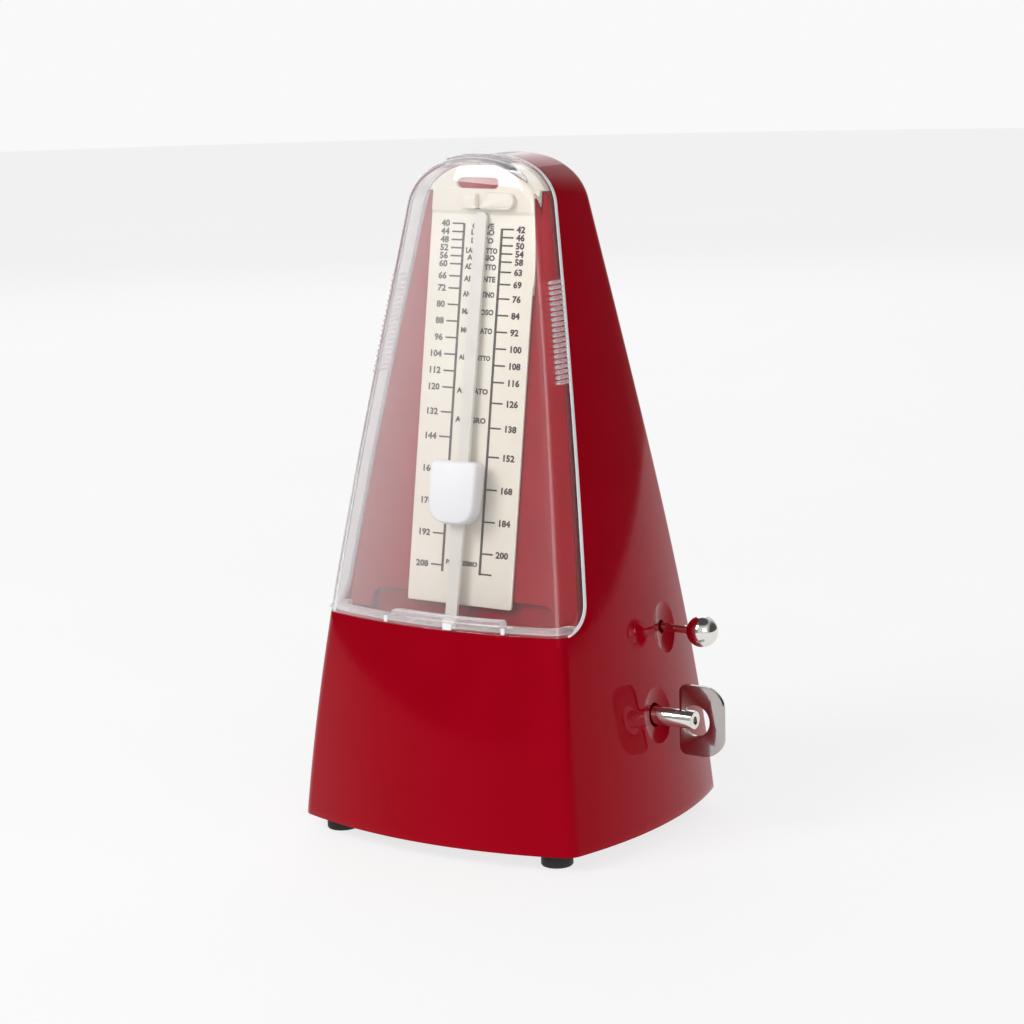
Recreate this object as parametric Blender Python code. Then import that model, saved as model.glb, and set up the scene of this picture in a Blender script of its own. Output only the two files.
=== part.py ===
"""Pyramid metronome: case, clear cover, clockwork, pendulum, bell and controls.

Units are millimetres until a mesh is finished; objects are in metres, +Z up, front towards -Y.
The origin is the middle of the bounding box, on the surface that the feet stand on.
"""

import math

import bmesh
import bpy
from mathutils import Matrix, Vector

MM = 0.001

# ---------------------------------------------------------------- driving dimensions (mm)

# Case, outside.
CASE_BOTTOM_Z = 5.5
APRON_TOP_Z = 74.6
TOP_LEVEL_Z = 211.0
CASE_TOP_Z = 224.5
BASE_WIDTH = 106.0
BASE_DEPTH = 94.0
TOP_WIDTH = 49.6
TOP_DEPTH = 34.4
SIDE_SWELL = 2.2
FRONT_SWELL = 2.3
FRONT_SWELL_SKEW = 1.1
FACE_RADIUS = 155.0
CORNER_RADIUS = 3.0
ROOF_SPRING_Z = 209.0
ROOF_POWER = 2.3

# Walls and clearances.
WALL = 2.4
LEDGE_THICKNESS = 2.4
PART_GAP = 0.3
RUNNING_GAP = 0.2
SWING_GAP = 0.6

# Clear cover and front panel.
COVER_WALL = 1.8
COVER_LIP_DEPTH = 2.6
PANEL_RECESS = 11.1
PANEL_WALL = 2.0
PANEL_FLANGE = 5.9
PANEL_INSET = 2.7
COVER_RIM_BEHIND_PANEL = 1.2
COVER_CORNER_RADIUS = 9.0
COVER_CORNER_STEPS = 5
SLOT_HALF_WIDTH = 35.0
SLOT_TOP_Z = 81.5
SLOT_FRONT_INSET = 4.4
GRIP_LENGTH = 33.0
GRIP_WIDTH = 7.3
GRIP_STAND = 1.0
GRIP_MIDDLE_Z = 169.5

# Scale plate and catch.
PLATE_WIDTH = 40.6
PLATE_THICKNESS = 0.8
PLATE_BOTTOM_Z = 79.3
PLATE_STEP_Z = 205.7
CAP_BOTTOM_Z = 213.0
CAP_THICKNESS = 1.3
CAP_MARGIN = 0.5
CATCH_BOTTOM_Z = 207.2
CATCH_HEIGHT = 5.4
CATCH_THICKNESS = 2.6
CATCH_LEFT = -7.0
CATCH_RIGHT = 12.5

# Base plate, feet and screws.
BASE_PLATE_BOTTOM_Z = 6.3
BASE_PLATE_THICKNESS = 2.5
FOOT_RADIUS = 5.25
FOOT_X = 42.7
FOOT_Y = 39.9
FOOT_STEM_RADIUS = 2.2
SCREW_RADIUS = 1.3
SCREW_HEAD_RADIUS = 2.8
BOSS_Y = 22.0
BOSS_HALF_SIZE = 5.0
BOSS_TOP_Z = 24.0
BOSS_REACH = 12.0

# Movement frame.
FRAME_PLATE = 1.5
BELL_SPACE = 20.8
FRAME_FRONT_Y = -23.0
FRAME_REAR_Y = 27.0
FRAME_TOP_Z = 73.5
FRAME_FLANGE = 9.0
PILLAR_RADIUS = 2.2
PILLAR_PLACES = ((-19.5, 18.0), (22.5, 18.0), (-19.5, 69.5), (23.2, 56.0))
FRAME_SCREW_Y = (-15.0, 19.0)

# Winding arbor, key and mainspring.
KEY_Y = 3.8
KEY_Z = 41.0
ARBOR_RADIUS = 3.0
KEY_STEM_RADIUS = 3.1
KEY_STEM_REACH = 14.0
KEY_WING_START = 8.4
KEY_WING_END = 24.0
KEY_WING_HEIGHT = 23.6
KEY_WING_THICKNESS = 1.4
KEY_WING_CORNER = 6.5
KEY_HOLE_RADIUS = 5.2
KEY_HOLE_PLACE = 14.4
KEY_DISH_RADIUS = 9.6
SPRING_OUTER_RADIUS = 12.2
SPRING_WIDTH = 13.0
SPRING_STRIP = 0.4
SPRING_TURNS = 4

# Gear train.
GEAR_PRESSURE_ANGLE = math.radians(25.0)
GEAR_ADDENDUM = 0.85
GEAR_DEDENDUM = 1.15
GEAR_BACKLASH = 0.16
GREAT_TEETH = 44
GREAT_MODULE = 0.75
SECOND_PINION_TEETH = 10
SECOND_TEETH = 40
SECOND_MODULE = 0.6
ESCAPE_PINION_TEETH = 10
GREAT_WIDTH = 2.5
SECOND_WIDTH = 1.5
TRAIN_ARBOR_RADIUS = 1.2
RATCHET_TEETH = 24
RATCHET_RADIUS = 8.0
RATCHET_ROOT = 7.1
RATCHET_WIDTH = 2.0
CLICK_PLACE_RADIUS = 11.8
CLICK_PLACE_ANGLE = math.radians(42.0)
CLICK_SCREW_RADIUS = 1.0
CLICK_END_RADIUS = 2.1
CLICK_LIFT = 0.25

# Escapement.
ESCAPE_TEETH = 15
ESCAPE_RADIUS = 9.0
ESCAPE_RIM = 1.4
ESCAPE_TOOTH = 2.3
ESCAPE_WEB = 1.5
VERGE_RADIUS = 1.1
PALLET_REACH = 3.1
PALLET_WIDTH = 3.0
PALLET_THICKNESS = 0.6
PALLET_SPREAD = math.radians(40.0)
TOOTH_TIP_X = 2.9
ESCAPE_BACK = 23.1

# Pendulum.
PIVOT_Z = 48.0
ROD_WIDTH = 4.4
ROD_THICKNESS = 1.2
ROD_TIP_Z = 206.3
ROD_TIP_GAP = 0.6
ROD_FOOT_STAND = 4.9
ROD_BELOW = 29.0
BOB_RADIUS = 10.5
BOB_DROP = 25.0
BOB_THICKNESS = 14.0
BOB_FRONT = 1.6
COLLET_RADIUS = 4.2
COLLET_LENGTH = 5.0

# Sliding weight.
WEIGHT_WIDTH = 18.4
WEIGHT_HEIGHT = 20.6
WEIGHT_FRONT = 6.0
WEIGHT_TOP_Z = 126.2
WEIGHT_BACK_STRAP = 0.45
WEIGHT_TOP_CORNER = 1.8
WEIGHT_FOOT_CORNER = 6.2
WEIGHT_TAPER = 0.9

# Bell and its selector.
SELECTOR_Y = 17.5
SELECTOR_Z = 67.5
SELECTOR_RADIUS = 1.4
SELECTOR_TRAVEL = 4.0
KNOB_RADIUS = 5.3
KNOB_STAND = 14.2
SELECTOR_DISH_RADIUS = 8.8
DISH_DEPTH = 1.5
DRUM_RADIUS = 5.8
DRUM_PIN_HEIGHT = 1.4
DRUM_TRACK_PITCH = 2.0
DRUM_TRACK_STEP = 0.3
DRUM_STEPS = 12
DRUM_COUNTS = (2, 3, 4, 6)
BELL_RADIUS = 15.0
BELL_DEPTH = 13.0
BELL_WALL = 1.2
BELL_Y = -3.0
BELL_Z = 43.0
HAMMER_TUBE_RADIUS = 2.9
HAMMER_HEAD_RADIUS = 2.5
HAMMER_REST_GAP = 0.6

# Facets.
FACE_STEPS = 6
CORNER_STEPS = 3
WALL_STEPS = 8
ROOF_STEPS = 5
ROUND_SEGMENTS = 20
SMALL_SEGMENTS = 12
SMOOTH_ANGLE = math.radians(35.0)
MERGE_DISTANCE = 1e-3

# ---------------------------------------------------------------- case surfaces


def height_share(z):
    """Share of the way from the case's bottom edge to the top level."""
    return (z - CASE_BOTTOM_Z) / (TOP_LEVEL_Z - CASE_BOTTOM_Z)


def half_width(z):
    """Half the case's width at its corners, at height z."""
    t = height_share(z)
    straight = (BASE_WIDTH + (TOP_WIDTH - BASE_WIDTH) * t) / 2
    return straight + SIDE_SWELL * 4 * t * (1 - t)


def half_depth(z):
    """Half the case's depth at its corners, at height z."""
    t = height_share(z)
    straight = (BASE_DEPTH + (TOP_DEPTH - BASE_DEPTH) * t) / 2
    return straight + FRONT_SWELL * 4 * t * (1 - t) * (1 + FRONT_SWELL_SKEW * (1 - 2 * t))


def bow(half_chord, offset):
    """How far a bowed face stands out of its chord at an offset from the middle."""
    across = min(abs(offset), half_chord)
    return math.sqrt(FACE_RADIUS ** 2 - across ** 2) - math.sqrt(FACE_RADIUS ** 2 - half_chord ** 2)


def side_face_x(y, z):
    """Outside of the case's side at a place in the YZ plane."""
    return half_width(z) + bow(half_depth(z), y)


def arc_rise(half_chord, offset, radius):
    """Height of an arc of a radius above its chord."""
    return math.sqrt(radius ** 2 - offset ** 2) - math.sqrt(radius ** 2 - half_chord ** 2)


def plan_ring(w, d, inset):
    """Outline with four bowed sides and rounded corners, anticlockwise from the front left."""
    radius = FACE_RADIUS - inset
    corner = min(CORNER_RADIUS, 0.45 * w, 0.45 * d)
    sides = []
    for half_chord, other, turn in ((w, d, 0), (d, w, 1), (w, d, 2), (d, w, 3)):
        points = []
        for i in range(FACE_STEPS + 1):
            u = (half_chord - corner) * (2 * i / FACE_STEPS - 1)
            points.append((u, -(other + arc_rise(half_chord, u, radius))))
        spin = Matrix.Rotation(turn * math.pi / 2, 2)
        sides.append([spin @ Vector(p) for p in points])
    ring = []
    tips = ((w, -d), (w, d), (-w, d), (-w, -d))
    for i, side in enumerate(sides):
        ring.extend(side)
        start = side[-1]
        end = sides[(i + 1) % 4][0]
        tip = Vector(tips[i])
        for k in range(1, CORNER_STEPS):
            t = k / CORNER_STEPS
            ring.append(start * (1 - t) ** 2 + tip * 2 * t * (1 - t) + end * t ** 2)
    return ring


def body_rings(inset, z_low):
    """Rings of the case's surface moved in by an inset, from z_low to the top of the roof."""
    rings = []
    for i in range(WALL_STEPS + 1):
        z = z_low + (ROOF_SPRING_Z - z_low) * i / WALL_STEPS
        rings.append((half_width(z) - inset, half_depth(z) - inset, z))
    rise = CASE_TOP_Z - inset - ROOF_SPRING_Z
    steepest = math.radians(80.0)
    for i in range(1, ROOF_STEPS + 1):
        angle = steepest * i / ROOF_STEPS
        z = ROOF_SPRING_Z + rise * math.sin(angle) ** (2 / ROOF_POWER)
        narrow = math.cos(angle) ** (2 / ROOF_POWER)
        rings.append(((half_width(z) - inset) * narrow, half_depth(z) - inset, z))
    return [[(p.x, p.y, z) for p in plan_ring(w, d, inset)] for w, d, z in rings]


PANEL_FOOT_Y = -half_depth(APRON_TOP_Z) + PANEL_RECESS
PANEL_HEAD_Y = -half_depth(TOP_LEVEL_Z) + PANEL_RECESS
PANEL_SLOPE = (PANEL_HEAD_Y - PANEL_FOOT_Y) / (TOP_LEVEL_Z - APRON_TOP_Z)
PANEL_TILT = math.atan(PANEL_SLOPE)
PLATE_STAND = PART_GAP + PLATE_THICKNESS


def panel_y(z):
    """Front face of the front panel at height z."""
    return PANEL_FOOT_Y + PANEL_SLOPE * (z - APRON_TOP_Z)


ROD_TIP_Y = panel_y(ROD_TIP_Z) - (PLATE_STAND + ROD_TIP_GAP + ROD_THICKNESS / 2)
ROD_FOOT_Y = panel_y(APRON_TOP_Z) - ROD_FOOT_STAND
ROD_SLOPE = (ROD_TIP_Y - ROD_FOOT_Y) / (ROD_TIP_Z - APRON_TOP_Z)
ROD_TILT = math.atan(ROD_SLOPE)
PIVOT_Y = ROD_FOOT_Y - ROD_SLOPE * (APRON_TOP_Z - PIVOT_Z)
ROD_ABOVE = (ROD_TIP_Z - PIVOT_Z) / math.cos(ROD_TILT)

FRAME_HALF = half_width(KEY_Z) - WALL - BELL_SPACE
BASE_PLATE_TOP_Z = BASE_PLATE_BOTTOM_Z + BASE_PLATE_THICKNESS
KEY_FACE_X = side_face_x(KEY_Y, KEY_Z)
SELECTOR_FACE_X = side_face_x(SELECTOR_Y, SELECTOR_Z)

# ---------------------------------------------------------------- gear train layout

ESCAPE_Y = PIVOT_Y + ESCAPE_BACK * math.cos(ROD_TILT)
ESCAPE_Z = PIVOT_Z - ESCAPE_BACK * math.sin(ROD_TILT)


def pitch_radius(teeth, module):
    """Pitch radius of a gear."""
    return teeth * module / 2


def third_corner(a, reach_a, b, reach_b):
    """Upper point at reach_a from a and at reach_b from b."""
    across = Vector(b) - Vector(a)
    span = across.length
    along = (reach_a ** 2 - reach_b ** 2 + span ** 2) / (2 * span)
    rise = math.sqrt(reach_a ** 2 - along ** 2)
    unit = across / span
    return Vector(a) + unit * along + Vector((-unit.y, unit.x)) * rise


SECOND_CENTRE = third_corner(
    (ESCAPE_Y, ESCAPE_Z),
    pitch_radius(SECOND_TEETH + ESCAPE_PINION_TEETH, SECOND_MODULE),
    (KEY_Y, KEY_Z),
    pitch_radius(GREAT_TEETH + SECOND_PINION_TEETH, GREAT_MODULE),
)


def mating_phase(phase, teeth, centre, mate_centre, mate_teeth):
    """Angle of a mate's tooth, so that its gap meets the other gear's tooth."""
    line = math.atan2(mate_centre[1] - centre[1], mate_centre[0] - centre[0])
    pitches = (line - phase) * teeth / (2 * math.pi)
    return line + math.pi - (0.5 - pitches) * 2 * math.pi / mate_teeth


SECOND_PINION_PHASE = mating_phase(0.0, GREAT_TEETH, (KEY_Y, KEY_Z), SECOND_CENTRE, SECOND_PINION_TEETH)
ESCAPE_PINION_PHASE = mating_phase(
    0.0, SECOND_TEETH, SECOND_CENTRE, (ESCAPE_Y, ESCAPE_Z), ESCAPE_PINION_TEETH)

# Places along X between the frame plates.
GREAT_X = FRAME_HALF - 6.5
RATCHET_X = GREAT_X - PART_GAP - RATCHET_WIDTH
SECOND_PINION_X = GREAT_X - 0.7
SECOND_X = FRAME_HALF - 13.0
ESCAPE_PINION_X = SECOND_X - 1.5
ESCAPE_PINION_LENGTH = 4.5
ESCAPE_WEB_X = TOOTH_TIP_X + ESCAPE_TOOTH
BRIDGE_X = ESCAPE_WEB_X + ESCAPE_WEB + 1.6
DRUM_X = -FRAME_HALF + 8.0
SPRING_X = -FRAME_HALF + 4.0
FINGER_X = DRUM_X + DRUM_TRACK_PITCH * 2
BELL_X = -FRAME_HALF - FRAME_PLATE - 2.5
HAMMER_HEAD_X = BELL_X - BELL_DEPTH / 2 + 1.0

# ---------------------------------------------------------------- materials

FINISHES = {
    "red_gloss": ((0.26, 0.003, 0.012), 0.12, 0.0, 1.0),
    "clear_plastic": ((0.93, 0.95, 0.96), 0.04, 0.0, 0.25),
    "cream": ((0.84, 0.79, 0.70), 0.45, 0.0, 1.0),
    "white": ((0.88, 0.88, 0.90), 0.35, 0.0, 1.0),
    "black_rubber": ((0.02, 0.02, 0.02), 0.8, 0.0, 1.0),
    "black_plastic": ((0.03, 0.03, 0.03), 0.5, 0.0, 1.0),
    "chrome": ((0.75, 0.75, 0.76), 0.06, 1.0, 1.0),
    "steel": ((0.5, 0.5, 0.52), 0.3, 1.0, 1.0),
    "spring_steel": ((0.2, 0.22, 0.27), 0.28, 1.0, 1.0),
    "aluminium": ((0.78, 0.78, 0.79), 0.35, 1.0, 1.0),
    "brass": ((0.75, 0.55, 0.2), 0.28, 1.0, 1.0),
}


def finish_material(name):
    """Material of a finish, made once."""
    found = bpy.data.materials.get(name)
    if found:
        return found
    colour, roughness, metallic, alpha = FINISHES[name]
    material = bpy.data.materials.new(name)
    material.use_nodes = True
    shader = material.node_tree.nodes["Principled BSDF"]
    shader.inputs["Base Color"].default_value = (*colour, 1.0)
    shader.inputs["Roughness"].default_value = roughness
    shader.inputs["Metallic"].default_value = metallic
    shader.inputs["Alpha"].default_value = alpha
    return material


# ---------------------------------------------------------------- shape helpers


def make_object(name, bm, flat_faces=True):
    """Object from a mesh drawn in millimetres, with its faces outwards."""
    if not flat_faces:
        bmesh.ops.triangulate(bm, faces=bm.faces[:])
    bmesh.ops.recalc_face_normals(bm, faces=bm.faces[:])
    mesh = bpy.data.meshes.new(name)
    bm.to_mesh(mesh)
    bm.free()
    obj = bpy.data.objects.new(name, mesh)
    bpy.context.scene.collection.objects.link(obj)
    return obj


def loft(name, rings, flat_faces=False):
    """Closed solid through rings with equal numbers of points."""
    bm = bmesh.new()
    rows = [[bm.verts.new(p) for p in ring] for ring in rings]
    count = len(rings[0])
    for low, high in zip(rows, rows[1:]):
        for i in range(count):
            j = (i + 1) % count
            bm.faces.new((low[i], low[j], high[j], high[i]))
    bm.faces.new(list(reversed(rows[0])))
    bm.faces.new(rows[-1])
    return make_object(name, bm, flat_faces)


def to_axis(axis, across, up, along):
    """Point whose third measure runs along an axis."""
    if axis == "X":
        return (along, across, up)
    if axis == "Y":
        return (across, along, up)
    return (across, up, along)


def prism(name, outline, low, high, axis="Z"):
    """Solid of an outline between two places along an axis."""
    rings = [[to_axis(axis, a, b, place) for a, b in outline] for place in (low, high)]
    return loft(name, rings, True)


def box(name, low, high):
    """Solid block between two corners."""
    outline = ((low[0], low[1]), (high[0], low[1]), (high[0], high[1]), (low[0], high[1]))
    return prism(name, outline, low[2], high[2])


def turned(name, profile, axis="Z", centre=(0.0, 0.0), segments=ROUND_SEGMENTS):
    """Solid turned round an axis from (radius, place) points; radius 0 closes an end."""
    bm = bmesh.new()
    rows = []
    for radius, place in profile:
        if radius == 0:
            rows.append([bm.verts.new(to_axis(axis, centre[0], centre[1], place))])
            continue
        row = []
        for i in range(segments):
            angle = 2 * math.pi * i / segments
            across = centre[0] + radius * math.cos(angle)
            up = centre[1] + radius * math.sin(angle)
            row.append(bm.verts.new(to_axis(axis, across, up, place)))
        rows.append(row)
    ends_closed = len(rows[0]) == 1 and len(rows[-1]) == 1
    pairs = list(zip(rows, rows[1:]))
    if not ends_closed:
        pairs.append((rows[-1], rows[0]))
    for a, b in pairs:
        for i in range(segments):
            j = (i + 1) % segments
            if len(a) == 1:
                bm.faces.new((a[0], b[j], b[i]))
            elif len(b) == 1:
                bm.faces.new((a[i], a[j], b[0]))
            else:
                bm.faces.new((a[i], a[j], b[j], b[i]))
    return make_object(name, bm)


def rod(name, radius, low, high, axis="X", centre=(0.0, 0.0), segments=SMALL_SEGMENTS):
    """Plain round bar."""
    return turned(name, ((0, low), (radius, low), (radius, high), (0, high)), axis, centre, segments)


def tube(name, inner, outer, low, high, axis="X", centre=(0.0, 0.0), segments=ROUND_SEGMENTS):
    """Round bar with a bore."""
    profile = ((inner, low), (outer, low), (outer, high), (inner, high))
    return turned(name, profile, axis, centre, segments)


def boolean_result(target, tool, operation, solver):
    """Mesh that a boolean gives, and whether it is closed and faces outwards."""
    modifier = target.modifiers.new("combine", "BOOLEAN")
    modifier.solver = solver
    modifier.operation = operation
    modifier.object = tool
    graph = bpy.context.evaluated_depsgraph_get()
    result = bpy.data.meshes.new_from_object(target.evaluated_get(graph))
    target.modifiers.clear()
    clean = bmesh.new()
    clean.from_mesh(result)
    bmesh.ops.remove_doubles(clean, verts=clean.verts[:], dist=MERGE_DISTANCE)
    bmesh.ops.dissolve_degenerate(clean, edges=clean.edges[:], dist=MERGE_DISTANCE)
    sound = all(edge.is_contiguous for edge in clean.edges) and clean.calc_volume(signed=True) > 0
    clean.to_mesh(result)
    clean.free()
    return result, sound


def combine(target, tool, operation):
    """Join, cut or keep a solid with a second one, which is used up."""
    result, sound = boolean_result(target, tool, operation, "EXACT")
    if not sound:
        bpy.data.meshes.remove(result)
        result, sound = boolean_result(target, tool, operation, "MANIFOLD")
    spent = target.data
    target.data = result
    bpy.data.meshes.remove(spent)
    bpy.data.objects.remove(tool)
    return target


def cut(target, *tools):
    """Take tools out of a solid."""
    for tool in tools:
        combine(target, tool, "DIFFERENCE")
    return target


def join(target, *tools):
    """Join tools to a solid."""
    for tool in tools:
        combine(target, tool, "UNION")
    return target


def keep(target, tool):
    """Keep what a solid shares with a tool."""
    return combine(target, tool, "INTERSECT")


def move_mesh(obj, matrix):
    """Move a mesh that is still in millimetres."""
    obj.data.transform(matrix)
    return obj


def arc_points(centre, radius, start, end, steps):
    """Points on an arc, from one angle to another, in degrees."""
    points = []
    for i in range(steps + 1):
        angle = math.radians(start + (end - start) * i / steps)
        points.append((centre[0] + radius * math.cos(angle), centre[1] + radius * math.sin(angle)))
    return points


# ---------------------------------------------------------------- frames that pieces hang on

ROOT_NAME = "metronome"


def add_frame(name, place, tilt=0.0, parent=None):
    """Empty on a joint's axis or at a sloping part's foot, tilted back about X."""
    empty = bpy.data.objects.new(name, None)
    bpy.context.scene.collection.objects.link(empty)
    empty.parent = parent or bpy.data.objects[ROOT_NAME]
    empty.location = Vector(place) * MM
    empty.rotation_euler = (-tilt, 0.0, 0.0)
    bpy.context.view_layer.update()
    return empty


def finish(obj, material, frame=None, drawn_in_frame=False):
    """Give a piece its finish and hang it on its frame, where it was drawn."""
    mesh = obj.data
    bm = bmesh.new()
    bm.from_mesh(mesh)
    bmesh.ops.triangulate(bm, faces=bm.faces[:])
    bm.to_mesh(mesh)
    bm.free()
    mesh.transform(Matrix.Scale(MM, 4))
    mesh.materials.clear()
    mesh.materials.append(finish_material(material))
    mesh.shade_smooth()
    mesh.set_sharp_from_angle(angle=SMOOTH_ANGLE)
    home = frame or bpy.data.objects[ROOT_NAME]
    if not drawn_in_frame:
        mesh.transform(home.matrix_world.inverted())
    obj.parent = home
    return obj


def behind_panel(offset):
    """YZ outline of everything behind a plane parallel to the panel's face, up to the rear."""
    far = BASE_DEPTH
    low = CASE_BOTTOM_Z - WALL
    high = CASE_TOP_Z + WALL
    return ((panel_y(low) + offset, low), (far, low), (far, high), (panel_y(high) + offset, high))


def before_panel(offset, low, corner=0.0):
    """YZ outline of everything in front of a plane parallel to the panel's face, above a height."""
    far = -BASE_DEPTH
    high = CASE_TOP_Z + WALL
    foot = Vector((panel_y(low) + offset, low))
    if corner == 0.0:
        return ((far, low), tuple(foot), (panel_y(high) + offset, high), (far, high))
    start = foot - Vector((corner, 0.0))
    end = foot + Vector((math.sin(PANEL_TILT), math.cos(PANEL_TILT))) * corner
    rounded = []
    for i in range(COVER_CORNER_STEPS + 1):
        t = i / COVER_CORNER_STEPS
        rounded.append(tuple(start * (1 - t) ** 2 + foot * 2 * t * (1 - t) + end * t ** 2))
    return ((far, low), *rounded, (panel_y(high) + offset, high), (far, high))


def wide_slab(name, outline):
    """Solid of a YZ outline, wider than the case."""
    return prism(name, outline, -BASE_WIDTH, BASE_WIDTH, "X")


# ---------------------------------------------------------------- case

SHOULDER = COVER_RIM_BEHIND_PANEL + PART_GAP


def side_dish(name, radius, y, z):
    """Shallow round dish cutter, set square to the case's right side."""
    face_x = side_face_x(y, z)
    step = 1.0
    lean = math.atan((side_face_x(y, z - step) - side_face_x(y, z + step)) / (2 * step))
    turn_y = math.atan((side_face_x(y - step, z) - side_face_x(y + step, z)) / (2 * step))
    profile = (
        (0, -DISH_DEPTH),
        (radius * 0.55, -DISH_DEPTH),
        (radius, 0.0),
        (radius * 1.6, DISH_DEPTH * 1.6),
        (0, DISH_DEPTH * 1.6),
    )
    cutter = turned(name, profile, "X")
    matrix = Matrix.Translation((face_x, y, z))
    matrix = matrix @ Matrix.Rotation(-lean, 4, "Y") @ Matrix.Rotation(turn_y, 4, "Z")
    return move_mesh(cutter, matrix)


def make_case():
    """Moulded case: apron box below, spine above, ledge between them."""
    case = loft("casing_shell", body_rings(0.0, CASE_BOTTOM_Z))
    cut(case, wide_slab("front_opening", before_panel(SHOULDER, APRON_TOP_Z, COVER_CORNER_RADIUS)))
    front_room = loft("front_room", body_rings(WALL, CASE_BOTTOM_Z - WALL))
    cut(case, keep(front_room, wide_slab("front_reach", before_panel(SHOULDER, APRON_TOP_Z))))

    lower = loft("lower_hollow", body_rings(WALL, CASE_BOTTOM_Z - WALL))
    keep(lower, wide_slab("below_ledge", (
        (-BASE_DEPTH, 0), (BASE_DEPTH, 0),
        (BASE_DEPTH, APRON_TOP_Z - LEDGE_THICKNESS), (-BASE_DEPTH, APRON_TOP_Z - LEDGE_THICKNESS))))
    cut(case, lower)

    step_z = APRON_TOP_Z + 0.2
    ledge_back = panel_y(APRON_TOP_Z) + SHOULDER
    low_z = APRON_TOP_Z - LEDGE_THICKNESS - WALL
    high_z = CASE_TOP_Z + WALL
    spine_outline = (
        (ledge_back, low_z), (BASE_DEPTH, low_z), (BASE_DEPTH, high_z),
        (panel_y(high_z), high_z), (panel_y(step_z), step_z), (ledge_back, step_z))
    spine = loft("spine_hollow", body_rings(WALL, CASE_BOTTOM_Z - WALL))
    keep(spine, wide_slab("spine_reach", spine_outline))
    cut(case, spine)

    slot = box(
        "swing_slot",
        (-SLOT_HALF_WIDTH, -BASE_DEPTH, APRON_TOP_Z - LEDGE_THICKNESS * 2),
        (SLOT_HALF_WIDTH, ledge_back + 1.0, APRON_TOP_Z + LEDGE_THICKNESS))
    keep(slot, loft("slot_limit", body_rings(SLOT_FRONT_INSET, CASE_BOTTOM_Z)))
    cut(case, slot)

    boss_low = BASE_PLATE_TOP_Z + PART_GAP
    for side in (-1, 1):
        for end in (-1, 1):
            outer_x = side * BASE_WIDTH
            inner_x = side * (half_width(BOSS_TOP_Z) - BOSS_REACH)
            y = end * BOSS_Y
            boss = box(
                "screw_boss",
                (min(inner_x, outer_x), y - BOSS_HALF_SIZE, boss_low),
                (max(inner_x, outer_x), y + BOSS_HALF_SIZE, BOSS_TOP_Z))
            keep(boss, loft("boss_limit", body_rings(WALL / 2, CASE_BOTTOM_Z - WALL)))
            join(case, boss)
            place = (boss_x(side), y)
            bore = SCREW_RADIUS + PART_GAP
            cut(case, rod("boss_bore", bore, boss_low - 1, BOSS_TOP_Z - 2, "Z", place))

    cut(
        case,
        side_dish("key_dish", KEY_DISH_RADIUS, KEY_Y, KEY_Z),
        side_dish("selector_dish", SELECTOR_DISH_RADIUS, SELECTOR_Y, SELECTOR_Z),
        rod("key_hole", KEY_STEM_RADIUS + 1.2, FRAME_HALF, BASE_WIDTH, "X", (KEY_Y, KEY_Z), ROUND_SEGMENTS),
        rod("selector_hole", SELECTOR_RADIUS + 0.8, FRAME_HALF, BASE_WIDTH, "X", (SELECTOR_Y, SELECTOR_Z)))
    finish(case, "red_gloss")


def boss_x(side):
    """Middle of a screw boss."""
    return side * (half_width(BOSS_TOP_Z) - BOSS_REACH + BOSS_HALF_SIZE)


def make_panel():
    """Recessed front panel: a shallow tray whose flanges slip inside the case's front rim."""
    bottom = APRON_TOP_Z + PART_GAP
    panel = loft("front_panel", body_rings(PANEL_INSET, CASE_BOTTOM_Z))
    keep(panel, wide_slab("panel_reach", (
        (panel_y(bottom), bottom), (panel_y(bottom) + PANEL_FLANGE, bottom),
        (panel_y(CASE_TOP_Z) + PANEL_FLANGE, CASE_TOP_Z), (panel_y(CASE_TOP_Z), CASE_TOP_Z))))
    hollow = loft("panel_hollow", body_rings(PANEL_INSET + PANEL_WALL, CASE_BOTTOM_Z))
    keep(hollow, wide_slab("panel_back", behind_panel(PANEL_WALL)))
    cut(panel, hollow)
    radius = 4.0
    outline = [(-SLOT_HALF_WIDTH, APRON_TOP_Z - 1), (SLOT_HALF_WIDTH, APRON_TOP_Z - 1)]
    corner_z = SLOT_TOP_Z - radius
    outline += arc_points((SLOT_HALF_WIDTH - radius, corner_z), radius, 0, 90, 3)
    outline += arc_points((radius - SLOT_HALF_WIDTH, corner_z), radius, 90, 180, 3)
    reach = PANEL_WALL + 3
    cut(panel, prism("panel_slot", outline, panel_y(bottom) - reach, panel_y(bottom) + reach, "Y"))
    finish(panel, "red_gloss")


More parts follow.
